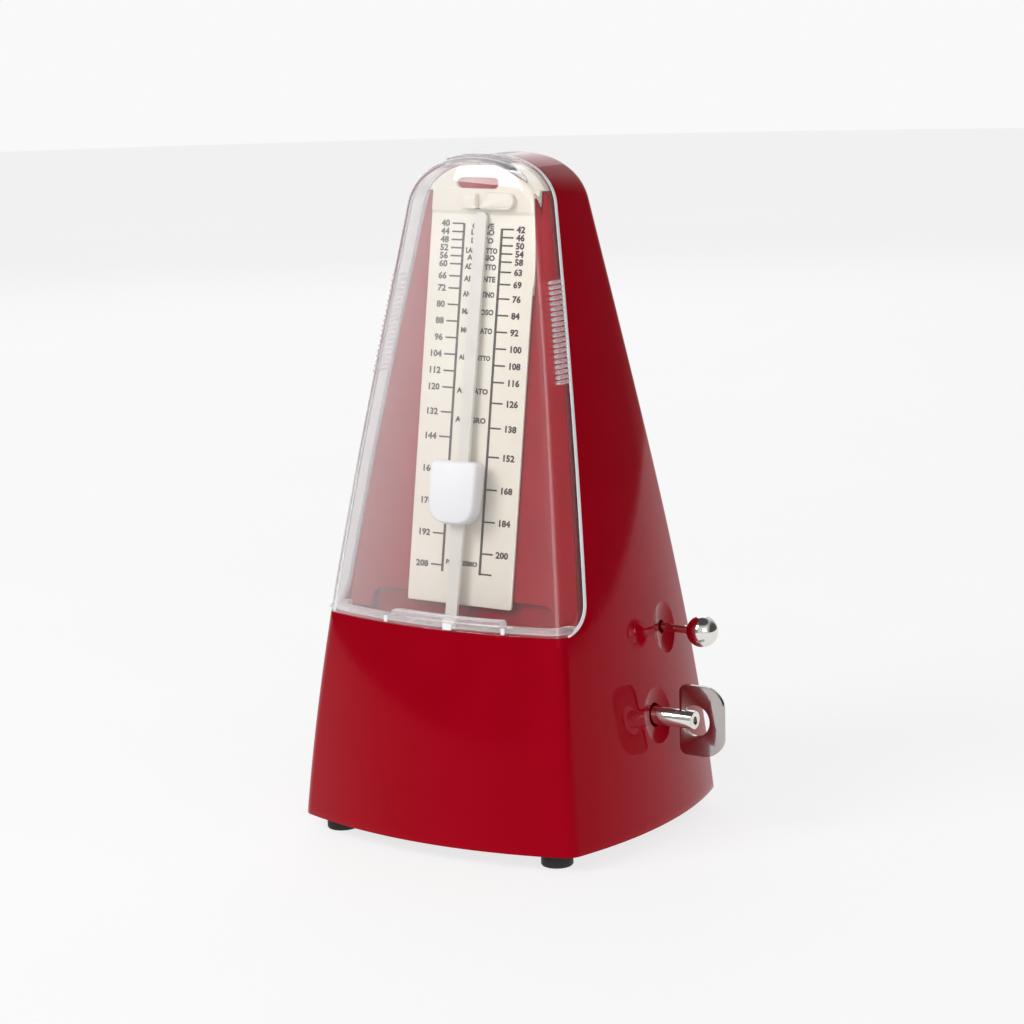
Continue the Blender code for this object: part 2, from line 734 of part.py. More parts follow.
def make_cover():
    """Clear cover, a tray that carries on the case's surface in front of the panel."""
    bottom = APRON_TOP_Z + PART_GAP
    rim = COVER_RIM_BEHIND_PANEL
    cover = loft("clear_cover", body_rings(0.0, CASE_BOTTOM_Z))
    grip_turn = Matrix.Rotation(-PANEL_TILT, 4, "X")
    for side in (-1, 1):
        z = GRIP_MIDDLE_Z
        y = panel_y(z) + rim - GRIP_WIDTH / 2 - 0.4
        x = side_face_x(y, z)
        lean = math.atan((side_face_x(y, z - 5) - side_face_x(y, z + 5)) / 10)
        pad = box("grip", (-2 * GRIP_STAND, -GRIP_WIDTH / 2, -GRIP_LENGTH / 2),
                  (GRIP_STAND, GRIP_WIDTH / 2, GRIP_LENGTH / 2))
        spin = Matrix.Rotation(0 if side > 0 else math.pi, 4, "Z")
        lean_turn = Matrix.Rotation(-side * lean, 4, "Y")
        move_mesh(pad, Matrix.Translation((side * x, y, z)) @ lean_turn @ grip_turn @ spin)
        join(cover, pad)
    keep(cover, wide_slab("cover_reach", before_panel(rim, bottom, COVER_CORNER_RADIUS)))
    hollow = loft("cover_hollow", body_rings(COVER_WALL, CASE_BOTTOM_Z))
    floor_top = bottom + COVER_WALL
    keep(hollow, box("above_floor", (-BASE_WIDTH, -BASE_DEPTH, floor_top),
                     (BASE_WIDTH, BASE_DEPTH, CASE_TOP_Z + WALL)))
    cut(cover, hollow)
    well = loft("cover_well", body_rings(COVER_WALL + COVER_LIP_DEPTH, CASE_BOTTOM_Z))
    keep(well, box("near_floor", (-BASE_WIDTH, -BASE_DEPTH, bottom - 2),
                   (BASE_WIDTH, BASE_DEPTH, floor_top + 1)))
    cut(cover, well)
    room = loft("panel_room", body_rings(PANEL_INSET - PART_GAP, CASE_BOTTOM_Z))
    keep(room, wide_slab("panel_space", behind_panel(-PART_GAP)))
    cut(cover, room)
    slide = add_frame("cover_slide", (0, -half_depth(APRON_TOP_Z), APRON_TOP_Z))
    finish(cover, "clear_plastic", slide)


def make_scale_plate():
    """Scale plate: a plain strip with a thicker cap across the panel's head."""
    slope = PANEL_SLOPE

    def slab(name, front, back, low, high):
        """Slab parallel to the panel, standing off its face."""
        outline = (
            (panel_y(low) - front, low), (panel_y(low) - back, low),
            (panel_y(high) - back, high), (panel_y(high) - front, high))
        return wide_slab(name, outline)

    stretch = math.sqrt(1 + slope ** 2)
    near = PLATE_STAND * stretch
    proud = (PART_GAP + CAP_THICKNESS) * stretch
    back = PART_GAP * stretch
    half = PLATE_WIDTH / 2
    plate = slab("scale_plate", near, back, PLATE_BOTTOM_Z, PLATE_STEP_Z + 0.5)
    join(plate, slab("head", proud, back, PLATE_STEP_Z, CAP_BOTTOM_Z + 0.5))
    keep(plate, box("strip", (-half, -BASE_DEPTH, 0), (half, BASE_DEPTH, CASE_TOP_Z)))
    cap = slab("cap", proud, back, CAP_BOTTOM_Z, CASE_TOP_Z)
    keep(cap, loft("cap_limit", body_rings(PANEL_INSET + CAP_MARGIN, CASE_BOTTOM_Z)))
    join(plate, cap)
    frame = add_frame("panel_frame", (0, PANEL_FOOT_Y, APRON_TOP_Z), PANEL_TILT)
    finish(plate, "cream", frame)
    return frame


def along_panel(z):
    """Distance up the panel's face of a height."""
    return (z - APRON_TOP_Z) / math.cos(PANEL_TILT)


def make_catch(frame):
    """Catch above the rod's tip: a bar with a stop on the left and a hook on the right."""
    foot = along_panel(CATCH_BOTTOM_Z)
    top = foot + CATCH_HEIGHT
    bar = foot + CATCH_HEIGHT * 0.55
    notch_left = 3.4
    notch_right = 6.2
    outline = [
        (CATCH_LEFT, top), (CATCH_LEFT, foot + 1.0), (CATCH_LEFT + 1.2, foot),
        (notch_left, foot), (notch_right, bar), (notch_right + 0.8, foot),
    ]
    outline += arc_points((CATCH_RIGHT - 2.6, foot + 2.6), 2.6, -90, 0, 4)
    outline += [(CATCH_RIGHT, top)]
    back = -(PART_GAP * 2 + CAP_THICKNESS)
    catch = prism("rod_catch", outline, back - CATCH_THICKNESS, back, "Y")
    finish(catch, "cream", frame, True)


def make_base():
    """Base plate with its sound slots, feet and screws."""
    level = BASE_PLATE_BOTTOM_Z
    rings = []
    inset = WALL + 0.5
    for z in (level, BASE_PLATE_TOP_Z):
        ring = plan_ring(half_width(CASE_BOTTOM_Z) - inset - 0.4, half_depth(CASE_BOTTOM_Z) - inset - 0.4, inset)
        rings.append([(p.x, p.y, z) for p in ring])
    plate = loft("base_plate", rings)
    for side in (-1, 1):
        for end in (-1, 1):
            foot_at = (side * FOOT_X, end * FOOT_Y)
            screw_at = (boss_x(side), end * BOSS_Y)
            cut(
                plate,
                rod("foot_hole", FOOT_STEM_RADIUS + PART_GAP, 0, BASE_WIDTH, "Z", foot_at),
                rod("screw_hole", SCREW_RADIUS + PART_GAP, 0, BASE_WIDTH, "Z", screw_at))
    for i in (-1, 0, 1):
        y = i * 9.0
        cut(plate, box("sound_slot", (-14, y - 1.6, 0), (14, y + 1.6, BASE_WIDTH)))
    for side in (-1, 1):
        for y in FRAME_SCREW_Y:
            hole = rod("frame_screw_hole", SCREW_RADIUS + PART_GAP, 0, BASE_WIDTH, "Z", (frame_screw_x(side), y))
            cut(plate, hole)
    finish(plate, "black_plastic")

    names = {(-1, -1): "front_left", (1, -1): "front_right", (-1, 1): "rear_left", (1, 1): "rear_right"}
    for (side, end), corner in names.items():
        edge = 0.5
        top = level - PART_GAP
        barb = BASE_PLATE_TOP_Z + PART_GAP
        profile = (
            (0, 0), (FOOT_RADIUS - edge, 0), (FOOT_RADIUS, edge), (FOOT_RADIUS, top),
            (FOOT_STEM_RADIUS, top), (FOOT_STEM_RADIUS, barb), (FOOT_STEM_RADIUS + 0.9, barb),
            (FOOT_STEM_RADIUS, barb + 2), (0, barb + 2))
        foot = turned("foot_" + corner, profile, "Z", (side * FOOT_X, end * FOOT_Y), 16)
        finish(foot, "black_rubber")
        make_screw("base_screw_" + corner, (boss_x(side), end * BOSS_Y), level - PART_GAP, BOSS_TOP_Z - 4)


def make_screw(name, place, head_top, end):
    """Pan-head screw driven upwards, its head under head_top."""
    profile = (
        (0, head_top - 1.9), (SCREW_HEAD_RADIUS - 0.8, head_top - 1.9), (SCREW_HEAD_RADIUS, head_top - 1.0),
        (SCREW_HEAD_RADIUS, head_top), (SCREW_RADIUS, head_top), (SCREW_RADIUS, end - 1),
        (SCREW_RADIUS - 0.7, end), (0, end))
    finish(turned(name, profile, "Z", place, SMALL_SEGMENTS), "steel")


# ---------------------------------------------------------------- movement frame


def frame_screw_x(side):
    """Middle of a frame plate's flange."""
    return side * (FRAME_HALF + FRAME_PLATE + FRAME_FLANGE / 2)


def make_frame_plates():
    """Two upright plates with flanges on the base, and the pillars between them."""
    foot_z = BASE_PLATE_TOP_Z + PART_GAP
    for side, name in ((-1, "left"), (1, "right")):
        inner = side * FRAME_HALF
        outer = side * (FRAME_HALF + FRAME_PLATE)
        chamfer = 6.0
        outline = (
            (FRAME_FRONT_Y, foot_z), (FRAME_REAR_Y, foot_z), (FRAME_REAR_Y, FRAME_TOP_Z - chamfer),
            (FRAME_REAR_Y - chamfer, FRAME_TOP_Z), (FRAME_FRONT_Y + chamfer, FRAME_TOP_Z),
            (FRAME_FRONT_Y, FRAME_TOP_Z - chamfer))
        plate = prism("frame_plate_" + name, outline, min(inner, outer), max(inner, outer), "X")
        tip = side * (FRAME_HALF + FRAME_PLATE + FRAME_FLANGE)
        flange = box("flange", (min(inner, tip), FRAME_FRONT_Y + 1, foot_z),
                     (max(inner, tip), FRAME_REAR_Y - 1, foot_z + FRAME_PLATE))
        join(plate, flange)
        holes = [(ARBOR_RADIUS + RUNNING_GAP, (KEY_Y, KEY_Z)),
                 (TRAIN_ARBOR_RADIUS + RUNNING_GAP, tuple(SECOND_CENTRE))]
        if side > 0:
            holes.append((TRAIN_ARBOR_RADIUS + RUNNING_GAP, (ESCAPE_Y, ESCAPE_Z)))
            holes.append((SELECTOR_RADIUS + RUNNING_GAP, (SELECTOR_Y, SELECTOR_Z)))
        else:
            holes.append((HAMMER_TUBE_RADIUS + RUNNING_GAP, (SELECTOR_Y, SELECTOR_Z)))
        for radius, place in holes:
            cut(plate, rod("pivot_hole", radius, min(inner, outer) - 1, max(inner, outer) + 1, "X", place))
        for y in FRAME_SCREW_Y:
            cut(plate, rod("thread_hole", SCREW_RADIUS + PART_GAP, 0, foot_z + 4, "Z", (frame_screw_x(side), y)))
            front = "front" if y < 0 else "rear"
            head_top = BASE_PLATE_BOTTOM_Z - PART_GAP
            make_screw("frame_screw_%s_%s" % (name, front), (frame_screw_x(side), y), head_top, foot_z + 5)
        finish(plate, "steel")
    for i, place in enumerate(PILLAR_PLACES):
        end = FRAME_HALF - PART_GAP
        pillar = rod("pillar_%d" % (i + 1), PILLAR_RADIUS, -end, end, "X", place)
        finish(pillar, "steel")


def make_verge_bracket():
    """Stirrup that carries the verge, reaching out from the left frame plate."""
    frame = add_frame("verge_frame", (0, PIVOT_Y, PIVOT_Z), ROD_TILT)
    web_x = -6.5
    cheek_end = TOOTH_TIP_X - PART_GAP
    front = 8.0
    rear = ESCAPE_BACK + ESCAPE_RADIUS + 3.0
    thick = 1.5
    half = 4.0
    bracket = box("verge_bracket", (web_x, front, -half), (web_x + thick, rear + thick, half))
    for back in (front, rear):
        join(bracket, box("cheek", (web_x, back, -half), (cheek_end, back + thick, half)))
        hole = rod("verge_hole", VERGE_RADIUS + RUNNING_GAP, back - 1, back + thick + 1, "Y")
        cut(bracket, hole)
    arm_back = ESCAPE_BACK - 3.5
    arm = rod("arm", 2.8, -FRAME_HALF + PART_GAP, web_x + thick / 2, "X", (arm_back, 0.0))
    join(bracket, arm)
    finish(bracket, "steel", frame, True)


def make_escape_bridge():
    """Bridge for the escape arbor's inner end, on two posts from the right frame plate."""
    thick = 1.5
    centre = (ESCAPE_Y, ESCAPE_Z)
    low_post = (ESCAPE_Y + 2.0, ESCAPE_Z - 15.0)
    high_post = (ESCAPE_Y - 4.5, ESCAPE_Z - 11.5)
    outline = arc_points(centre, 4.0, 0, 180, 6)
    outline += arc_points(high_post, 3.2, 180, 240, 2)
    outline += arc_points(low_post, 3.2, 240, 360, 4)
    bridge = prism("escape_bridge", outline, BRIDGE_X, BRIDGE_X + thick, "X")
    for place in (low_post, high_post):
        join(bridge, rod("post", 1.6, BRIDGE_X + thick / 2, FRAME_HALF - PART_GAP, "X", place))
    cut(bridge, rod("pivot_hole", TRAIN_ARBOR_RADIUS + RUNNING_GAP, 0, FRAME_HALF / 2 + 3, "X", centre))
    finish(bridge, "brass")


# ---------------------------------------------------------------- gears


def involute(angle):
    """Involute function."""
    return math.tan(angle) - angle


def gear_outline(teeth, module, phase, centre, flank_steps):
    """Outline of a spur gear with backlash, in the YZ plane."""
    pitch = pitch_radius(teeth, module)
    base = pitch * math.cos(GEAR_PRESSURE_ANGLE)
    root = pitch - GEAR_DEDENDUM * module
    tip = pitch + GEAR_ADDENDUM * module
    half_at_pitch = (math.pi * module / 2 - GEAR_BACKLASH) / (2 * pitch)
    radii = [root] + [max(root, base) + (tip - max(root, base)) * i / flank_steps for i in range(flank_steps + 1)]
    if root > base:
        radii.pop(0)

    def half_angle(radius):
        """Half a tooth's angle at a radius."""
        at = math.acos(min(1.0, base / max(radius, base)))
        return half_at_pitch + involute(GEAR_PRESSURE_ANGLE) - involute(at)

    points = []
    for k in range(teeth):
        middle = phase + 2 * math.pi * k / teeth
        flank = [(r, half_angle(r)) for r in radii]
        rising = [(r, middle - h) for r, h in flank]
        falling = [(r, middle + h) for r, h in reversed(flank)]
        for r, a in rising + falling:
            points.append((centre[0] + r * math.cos(a), centre[1] + r * math.sin(a)))
    return points


def ratchet_outline(centre):
    """Ratchet teeth: a steep face, then a long slope up to the next tip."""
    points = []
    for k in range(RATCHET_TEETH):
        angle = 2 * math.pi * k / RATCHET_TEETH
        for radius, turn in ((RATCHET_RADIUS, angle), (RATCHET_ROOT, angle + math.radians(1.7))):
            points.append((centre[0] + radius * math.cos(turn), centre[1] + radius * math.sin(turn)))
    return points


def polar(centre, radius, degrees):
    """Point at a radius and an angle from a centre."""
    angle = math.radians(degrees)
    return (centre[0] + radius * math.cos(angle), centre[1] + radius * math.sin(angle))


def make_great_wheel():
    """Great wheel on the winding arbor, with the click, its screw and its spring."""
    centre = (KEY_Y, KEY_Z)
    axis = add_frame("great_wheel_axis", (GREAT_X, KEY_Y, KEY_Z))
    outline = gear_outline(GREAT_TEETH, GREAT_MODULE, 0.0, centre, 1)
    wheel = prism("great_wheel", outline, GREAT_X, GREAT_X + GREAT_WIDTH, "X")
    cut(wheel, rod("hub_bore", ARBOR_RADIUS + RUNNING_GAP, 0, FRAME_HALF, "X", centre, ROUND_SEGMENTS))
    click_at = polar(centre, CLICK_PLACE_RADIUS, math.degrees(CLICK_PLACE_ANGLE))
    cut(wheel, rod("click_bore", CLICK_SCREW_RADIUS + PART_GAP, 0, FRAME_HALF, "X", click_at))
    finish(wheel, "brass", axis)

    low = RATCHET_X + 0.2
    high = GREAT_X - PART_GAP
    head = low - PART_GAP
    profile = (
        (0, head - 0.8), (CLICK_SCREW_RADIUS + 0.9, head - 0.8), (CLICK_SCREW_RADIUS + 0.9, head),
        (CLICK_SCREW_RADIUS, head), (CLICK_SCREW_RADIUS, GREAT_X + GREAT_WIDTH), (0, GREAT_X + GREAT_WIDTH))
    finish(turned("click_screw", profile, "X", click_at, SMALL_SEGMENTS), "steel", axis)

    spring_outline = [
        polar(centre, 10.9, 4), polar(centre, 11.3, 4), polar(centre, 12.6, -12), polar(centre, 14.6, -14),
        polar(centre, 14.6, -24), polar(centre, 11.8, -24), polar(centre, 11.8, -14)]
    finish(prism("click_spring", spring_outline, low, high, "X"), "spring_steel", axis)

    click_axis = add_frame("click_axis", (GREAT_X, *click_at))
    finger = [
        polar(centre, RATCHET_RADIUS + CLICK_LIFT, 3.3), polar(centre, RATCHET_RADIUS + CLICK_LIFT + 0.8, 2.9),
        polar(centre, RATCHET_RADIUS + 1.5, 13.3), polar(centre, CLICK_PLACE_RADIUS + 0.9, 33.0),
        polar(centre, CLICK_PLACE_RADIUS - 1.9, 44.6), polar(centre, RATCHET_RADIUS + 0.35, 14.5)]
    pawl = prism("click_pawl", finger, low, high, "X")
    join(pawl, rod("pawl_end", CLICK_END_RADIUS, low, high, "X", click_at))
    cut(pawl, rod("pawl_bore", CLICK_SCREW_RADIUS + RUNNING_GAP, 0, FRAME_HALF, "X", click_at))
    finish(pawl, "steel", click_axis)


def make_winding():
    """Winding arbor with its ratchet wheel, and the key that screws onto it."""
    centre = (KEY_Y, KEY_Z)
    axis = add_frame("winding_axis", (GREAT_X, KEY_Y, KEY_Z))
    left = -FRAME_HALF - FRAME_PLATE
    collar = FRAME_HALF + FRAME_PLATE + 1.5
    thread_end = collar + 9.0
    thread = ARBOR_RADIUS - 1.0
    profile = (
        (0, left - 1.5), (ARBOR_RADIUS, left - 1.5), (ARBOR_RADIUS, collar), (thread, collar),
        (thread, thread_end), (0, thread_end))
    finish(turned("winding_arbor", profile, "X", centre, ROUND_SEGMENTS), "steel", axis)

    ratchet = prism("ratchet_wheel", ratchet_outline(centre), RATCHET_X, RATCHET_X + RATCHET_WIDTH, "X")
    cut(ratchet, rod("ratchet_bore", ARBOR_RADIUS + PART_GAP, 0, FRAME_HALF, "X", centre, ROUND_SEGMENTS))
    finish(ratchet, "steel", axis)

    stem_low = collar + PART_GAP
    stem_high = KEY_FACE_X + KEY_STEM_REACH
    bore = thread + PART_GAP
    profile = (
        (0, thread_end + 1), (bore, thread_end + 1), (bore, stem_low), (KEY_STEM_RADIUS, stem_low),
        (KEY_STEM_RADIUS, stem_high - 0.4), (KEY_STEM_RADIUS - 0.4, stem_high), (0, stem_high))
    stem = turned("key_stem", profile, "X", centre, ROUND_SEGMENTS)
    half_slot = KEY_WING_THICKNESS / 2 + PART_GAP
    cut(stem, box(
        "wing_slot", (KEY_FACE_X + KEY_WING_START - PART_GAP, KEY_Y - half_slot, KEY_Z - KEY_WING_HEIGHT),
        (KEY_FACE_X + KEY_WING_END, KEY_Y + half_slot, KEY_Z + KEY_WING_HEIGHT)))
    finish(stem, "chrome", axis)

    half = KEY_WING_HEIGHT / 2
    start = KEY_FACE_X + KEY_WING_START
    end = KEY_FACE_X + KEY_WING_END
    corner = KEY_WING_CORNER
    outline = [(start, KEY_Z - half), (end - corner, KEY_Z - half)]
    outline += arc_points((end - corner, KEY_Z - half + corner), corner, -90, 0, 6)
    outline += arc_points((end - corner, KEY_Z + half - corner), corner, 0, 90, 6)
    outline += [(start, KEY_Z + half)]
    y = KEY_WING_THICKNESS / 2
    wing = prism("key_wing", outline, KEY_Y - y, KEY_Y + y, "Y")
    hole_at = (KEY_FACE_X + KEY_HOLE_PLACE, KEY_Z)
    cut(wing, rod("wing_hole", KEY_HOLE_RADIUS, KEY_Y - 9, KEY_Y + 9, "Y", hole_at, ROUND_SEGMENTS))
    finish(wing, "chrome", axis)


def make_mainspring():
    """Mainspring, a flat spiral strip round the winding arbor."""
    centre = (KEY_Y, KEY_Z)
    inner = ARBOR_RADIUS + RUNNING_GAP * 2
    steps = SPRING_TURNS * 16
    outside = []
    inside = []
    for i in range(steps + 1):
        share = i / steps
        angle = math.degrees(2 * math.pi * SPRING_TURNS * share)
        radius = inner + (SPRING_OUTER_RADIUS - SPRING_STRIP - inner) * share
        inside.append(polar(centre, radius, angle))
        outside.append(polar(centre, radius + SPRING_STRIP, angle))
    outline = inside + list(reversed(outside))
    spring = prism("mainspring", outline, SPRING_X, SPRING_X + SPRING_WIDTH, "X")
    finish(spring, "spring_steel")


def make_second_wheel():
    """Second arbor with its pinion, second wheel and count drum."""
    centre = tuple(SECOND_CENTRE)
    axis = add_frame("second_axis", (SECOND_X, *centre))
    ends = FRAME_HALF + FRAME_PLATE
    arbor = rod("second_arbor", TRAIN_ARBOR_RADIUS, -ends, ends, "X", centre)
    outline = gear_outline(SECOND_PINION_TEETH, GREAT_MODULE, SECOND_PINION_PHASE, centre, 2)
    join(arbor, prism("pinion", outline, SECOND_PINION_X, SECOND_PINION_X + GREAT_WIDTH + 1.4, "X"))
    finish(arbor, "steel", axis)

    wheel_outline = gear_outline(SECOND_TEETH, SECOND_MODULE, 0.0, centre, 1)
    wheel = prism("second_wheel", wheel_outline, SECOND_X, SECOND_X + SECOND_WIDTH, "X")
    cut(wheel, rod("bore", TRAIN_ARBOR_RADIUS + PART_GAP, 0, FRAME_HALF, "X", centre))
    finish(wheel, "brass", axis)

    rings = []
    start = DRUM_X
    for pins in (0, *DRUM_COUNTS):
        outline = drum_outline(centre, pins)
        for x in (start, start + DRUM_TRACK_PITCH - DRUM_TRACK_STEP):
            rings.append([(x, y, z) for y, z in outline])
        start += DRUM_TRACK_PITCH
    drum = loft("count_drum", rings)
    cut(drum, rod("bore", TRAIN_ARBOR_RADIUS + PART_GAP, -FRAME_HALF, 0, "X", centre))
    finish(drum, "brass", axis)


def drum_outline(centre, pins):
    """One track of the count drum: a circle with evenly spaced lifting pins."""
    points = []
    for i in range(DRUM_STEPS):
        on_pin = pins > 0 and i % (DRUM_STEPS // pins) == 0
        rise = DRUM_PIN_HEIGHT if on_pin else 0.0
        angle = 360.0 * i / DRUM_STEPS
        for turn, radius in ((-7, DRUM_RADIUS), (-4, DRUM_RADIUS + rise), (4, DRUM_RADIUS + rise), (7, DRUM_RADIUS)):
            points.append(polar(centre, radius, angle + turn))
    return points


def crown_wheel(name, centre):
    """Wheel whose saw teeth stand out of its face towards the verge."""
    bm = bmesh.new()
    outer = ESCAPE_RADIUS
    inner = ESCAPE_RADIUS - ESCAPE_RIM
    floor_x = ESCAPE_WEB_X
    back_x = ESCAPE_WEB_X + ESCAPE_WEB
    columns = []
    for k in range(ESCAPE_TEETH):
        for share, height in ((0.0, 1.0), (0.12, 0.95), (0.3, 0.12), (0.92, 0.12)):
            angle = 2 * math.pi * (k + share) / ESCAPE_TEETH
            tip_x = floor_x - ESCAPE_TOOTH * height
            column = []
            for radius, x in ((outer, back_x), (outer, tip_x), (inner, tip_x), (inner, floor_x)):
                y = centre[0] + radius * math.cos(angle)
                z = centre[1] + radius * math.sin(angle)
                column.append(bm.verts.new((x, y, z)))
            columns.append(column)
    floor_middle = bm.verts.new((floor_x, *centre))
    back_middle = bm.verts.new((back_x, *centre))
    for a, b in zip(columns, columns[1:] + columns[:1]):
        for i in range(3):
            bm.faces.new((a[i], b[i], b[i + 1], a[i + 1]))
        bm.faces.new((a[3], b[3], floor_middle))
        bm.faces.new((b[0], a[0], back_middle))
    return make_object(name, bm, False)


def make_escape():
    """Escape arbor with its pinion, and the crown wheel on its end."""
    centre = (ESCAPE_Y, ESCAPE_Z)
    axis = add_frame("escape_axis", (ESCAPE_WEB_X, *centre))
    wheel = crown_wheel("escape_wheel", centre)
    cut(wheel, rod("bore", TRAIN_ARBOR_RADIUS + PART_GAP, 0, FRAME_HALF, "X", centre))
    finish(wheel, "brass", axis)
    arbor = rod("escape_arbor", TRAIN_ARBOR_RADIUS, ESCAPE_WEB_X + 0.3, FRAME_HALF + FRAME_PLATE, "X", centre)
    outline = gear_outline(ESCAPE_PINION_TEETH, SECOND_MODULE, ESCAPE_PINION_PHASE, centre, 2)
    pinion = prism("pinion", outline, ESCAPE_PINION_X, ESCAPE_PINION_X + ESCAPE_PINION_LENGTH, "X")
    join(arbor, pinion)
    finish(arbor, "steel", axis)


# ---------------------------------------------------------------- pendulum


def make_pendulum():
    """Rod, verge with pallets, collet and lower bob, all on the verge's axis."""
    axis = add_frame("pendulum_axis", (0, PIVOT_Y, PIVOT_Z), ROD_TILT)
    half_width_rod = ROD_WIDTH / 2
    half_thick = ROD_THICKNESS / 2
    nose = 1.2
    outline = (
        (-half_width_rod, -ROD_BELOW), (half_width_rod, -ROD_BELOW), (half_width_rod, ROD_ABOVE - nose),
        (half_width_rod - nose, ROD_ABOVE), (nose - half_width_rod, ROD_ABOVE), (-half_width_rod, ROD_ABOVE - nose))
    strip = prism("pendulum_rod", outline, -half_thick, half_thick, "Y")
    cut(strip, rod("verge_hole", VERGE_RADIUS + PART_GAP, -5, 5, "Y"))
    cut(strip, rod("bob_hole", SCREW_RADIUS + PART_GAP, -5, 5, "Y", (0, -BOB_DROP)))
    finish(strip, "aluminium", axis, True)

    verge_end = ESCAPE_BACK + ESCAPE_RADIUS + 6.0
    verge = rod("verge_staff", VERGE_RADIUS, -half_thick - 1.2, verge_end, "Y")
    rim_middle = ESCAPE_RADIUS - ESCAPE_RIM / 2
    for back, side in ((ESCAPE_BACK - rim_middle, 1), (ESCAPE_BACK + rim_middle, -1)):
        angle = side * PALLET_SPREAD
        vane = box("pallet", (0.0, back - PALLET_WIDTH / 2, -PALLET_THICKNESS / 2),
                   (PALLET_REACH, back + PALLET_WIDTH / 2, PALLET_THICKNESS / 2))
        move_mesh(vane, Matrix.Rotation(-angle, 4, "Y"))
        join(verge, vane)
    finish(verge, "steel", axis, True)

    collet_front = half_thick + PART_GAP
    collet = tube("rod_collet", VERGE_RADIUS + PART_GAP, COLLET_RADIUS, collet_front,
                  collet_front + COLLET_LENGTH, "Y", (0, 0))
    finish(collet, "brass", axis, True)

    back = half_thick + PART_GAP
    edge = 0.8
    profile = (
        (0, back), (BOB_RADIUS - edge, back), (BOB_RADIUS, back + edge),
        (BOB_RADIUS, back + BOB_THICKNESS - edge), (BOB_RADIUS - edge, back + BOB_THICKNESS),
        (0, back + BOB_THICKNESS))
    bob = turned("pendulum_bob", profile, "Y", (0, -BOB_DROP), 24)
    thread_end = back + 9
    cut(bob, rod("thread", SCREW_RADIUS + PART_GAP, back - 2, thread_end, "Y", (0, -BOB_DROP)))
    finish(bob, "steel", axis, True)

    head = -half_thick - PART_GAP
    profile = (
        (0, head - BOB_FRONT), (SCREW_HEAD_RADIUS - 0.6, head - BOB_FRONT), (SCREW_HEAD_RADIUS, head - 0.8),
        (SCREW_HEAD_RADIUS, head), (SCREW_RADIUS, head), (SCREW_RADIUS, thread_end - 1), (0, thread_end - 1))
    finish(turned("bob_screw", profile, "Y", (0, -BOB_DROP), SMALL_SEGMENTS), "steel", axis, True)
    return axis


def make_sliding_weight(axis):
    """Shield-shaped weight with a passage for the rod, and the clip that grips it."""
    top = (WEIGHT_TOP_Z - PIVOT_Z) / math.cos(ROD_TILT)
    bottom = top - WEIGHT_HEIGHT
    half = WEIGHT_WIDTH / 2
    foot_half = half - WEIGHT_TAPER
    slide = bpy.data.objects.new("weight_slide", None)
    bpy.context.scene.collection.objects.link(slide)
    slide.parent = axis
    slide.location = (0, 0, (top + bottom) / 2 * MM)
    bpy.context.view_layer.update()

    def shield(grow):
        """Shield outline moved out by a margin."""
        small = WEIGHT_TOP_CORNER
        big = WEIGHT_FOOT_CORNER
        points = arc_points((half - small, top - small), small + grow, 0, 90, 3)
        points += arc_points((small - half, top - small), small + grow, 90, 180, 3)
        points += arc_points((big - foot_half, bottom + big), big + grow, 180, 270, 5)
        points += arc_points((foot_half - big, bottom + big), big + grow, 270, 360, 5)
        return points

    back = ROD_THICKNESS / 2 + RUNNING_GAP + WEIGHT_BACK_STRAP
    bevel = 1.2
    rings = [[(x, y, z) for x, z in shield(grow)]
             for y, grow in ((back, 0.0), (-WEIGHT_FRONT + bevel, 0.0), (-WEIGHT_FRONT, -bevel))]
    weight = loft("sliding_weight", rings)
    gap = RUNNING_GAP
    passage = box(
        "rod_passage", (-ROD_WIDTH / 2 - gap, -ROD_THICKNESS / 2 - gap, bottom - 1),
        (ROD_WIDTH / 2 + gap, ROD_THICKNESS / 2 + gap, top + 1))
    middle = (top + bottom) / 2
    clip_half_height = 6.0
    clip_depth = 2.6
    pocket = box(
        "clip_pocket", (-ROD_WIDTH / 2 - gap, -ROD_THICKNESS / 2 - gap - clip_depth, middle - clip_half_height),
        (ROD_WIDTH / 2 + gap, 0, middle + clip_half_height))
    cut(weight, join(passage, pocket))
    finish(weight, "white", axis)
    reseat(weight, slide)

    face = -ROD_THICKNESS / 2 - gap
    low = middle - clip_half_height + PART_GAP
    high = middle + clip_half_height - PART_GAP
    crest = face - 0.1
    rear = face - clip_depth + PART_GAP
    leaf = 0.35
    outline = (
        (rear, low), (rear + leaf, low), (crest, middle - 0.8), (crest, middle + 0.8), (rear + leaf, high),
        (rear, high), (rear, high - 0.8), (crest - leaf, middle + 0.6), (crest - leaf, middle - 0.6),
        (rear, low + 0.8))
    clip = prism("weight_clip", outline, -ROD_WIDTH / 2, ROD_WIDTH / 2, "X")
    finish(clip, "spring_steel", axis)
    reseat(clip, slide)


def reseat(obj, frame):
    """Hang a piece that was drawn in the pendulum's own frame on the slide in that frame."""
    obj.data.transform(frame.parent.matrix_world)
    obj.data.transform(Matrix.Translation(-frame.location))
    obj.parent = frame


# ---------------------------------------------------------------- bell


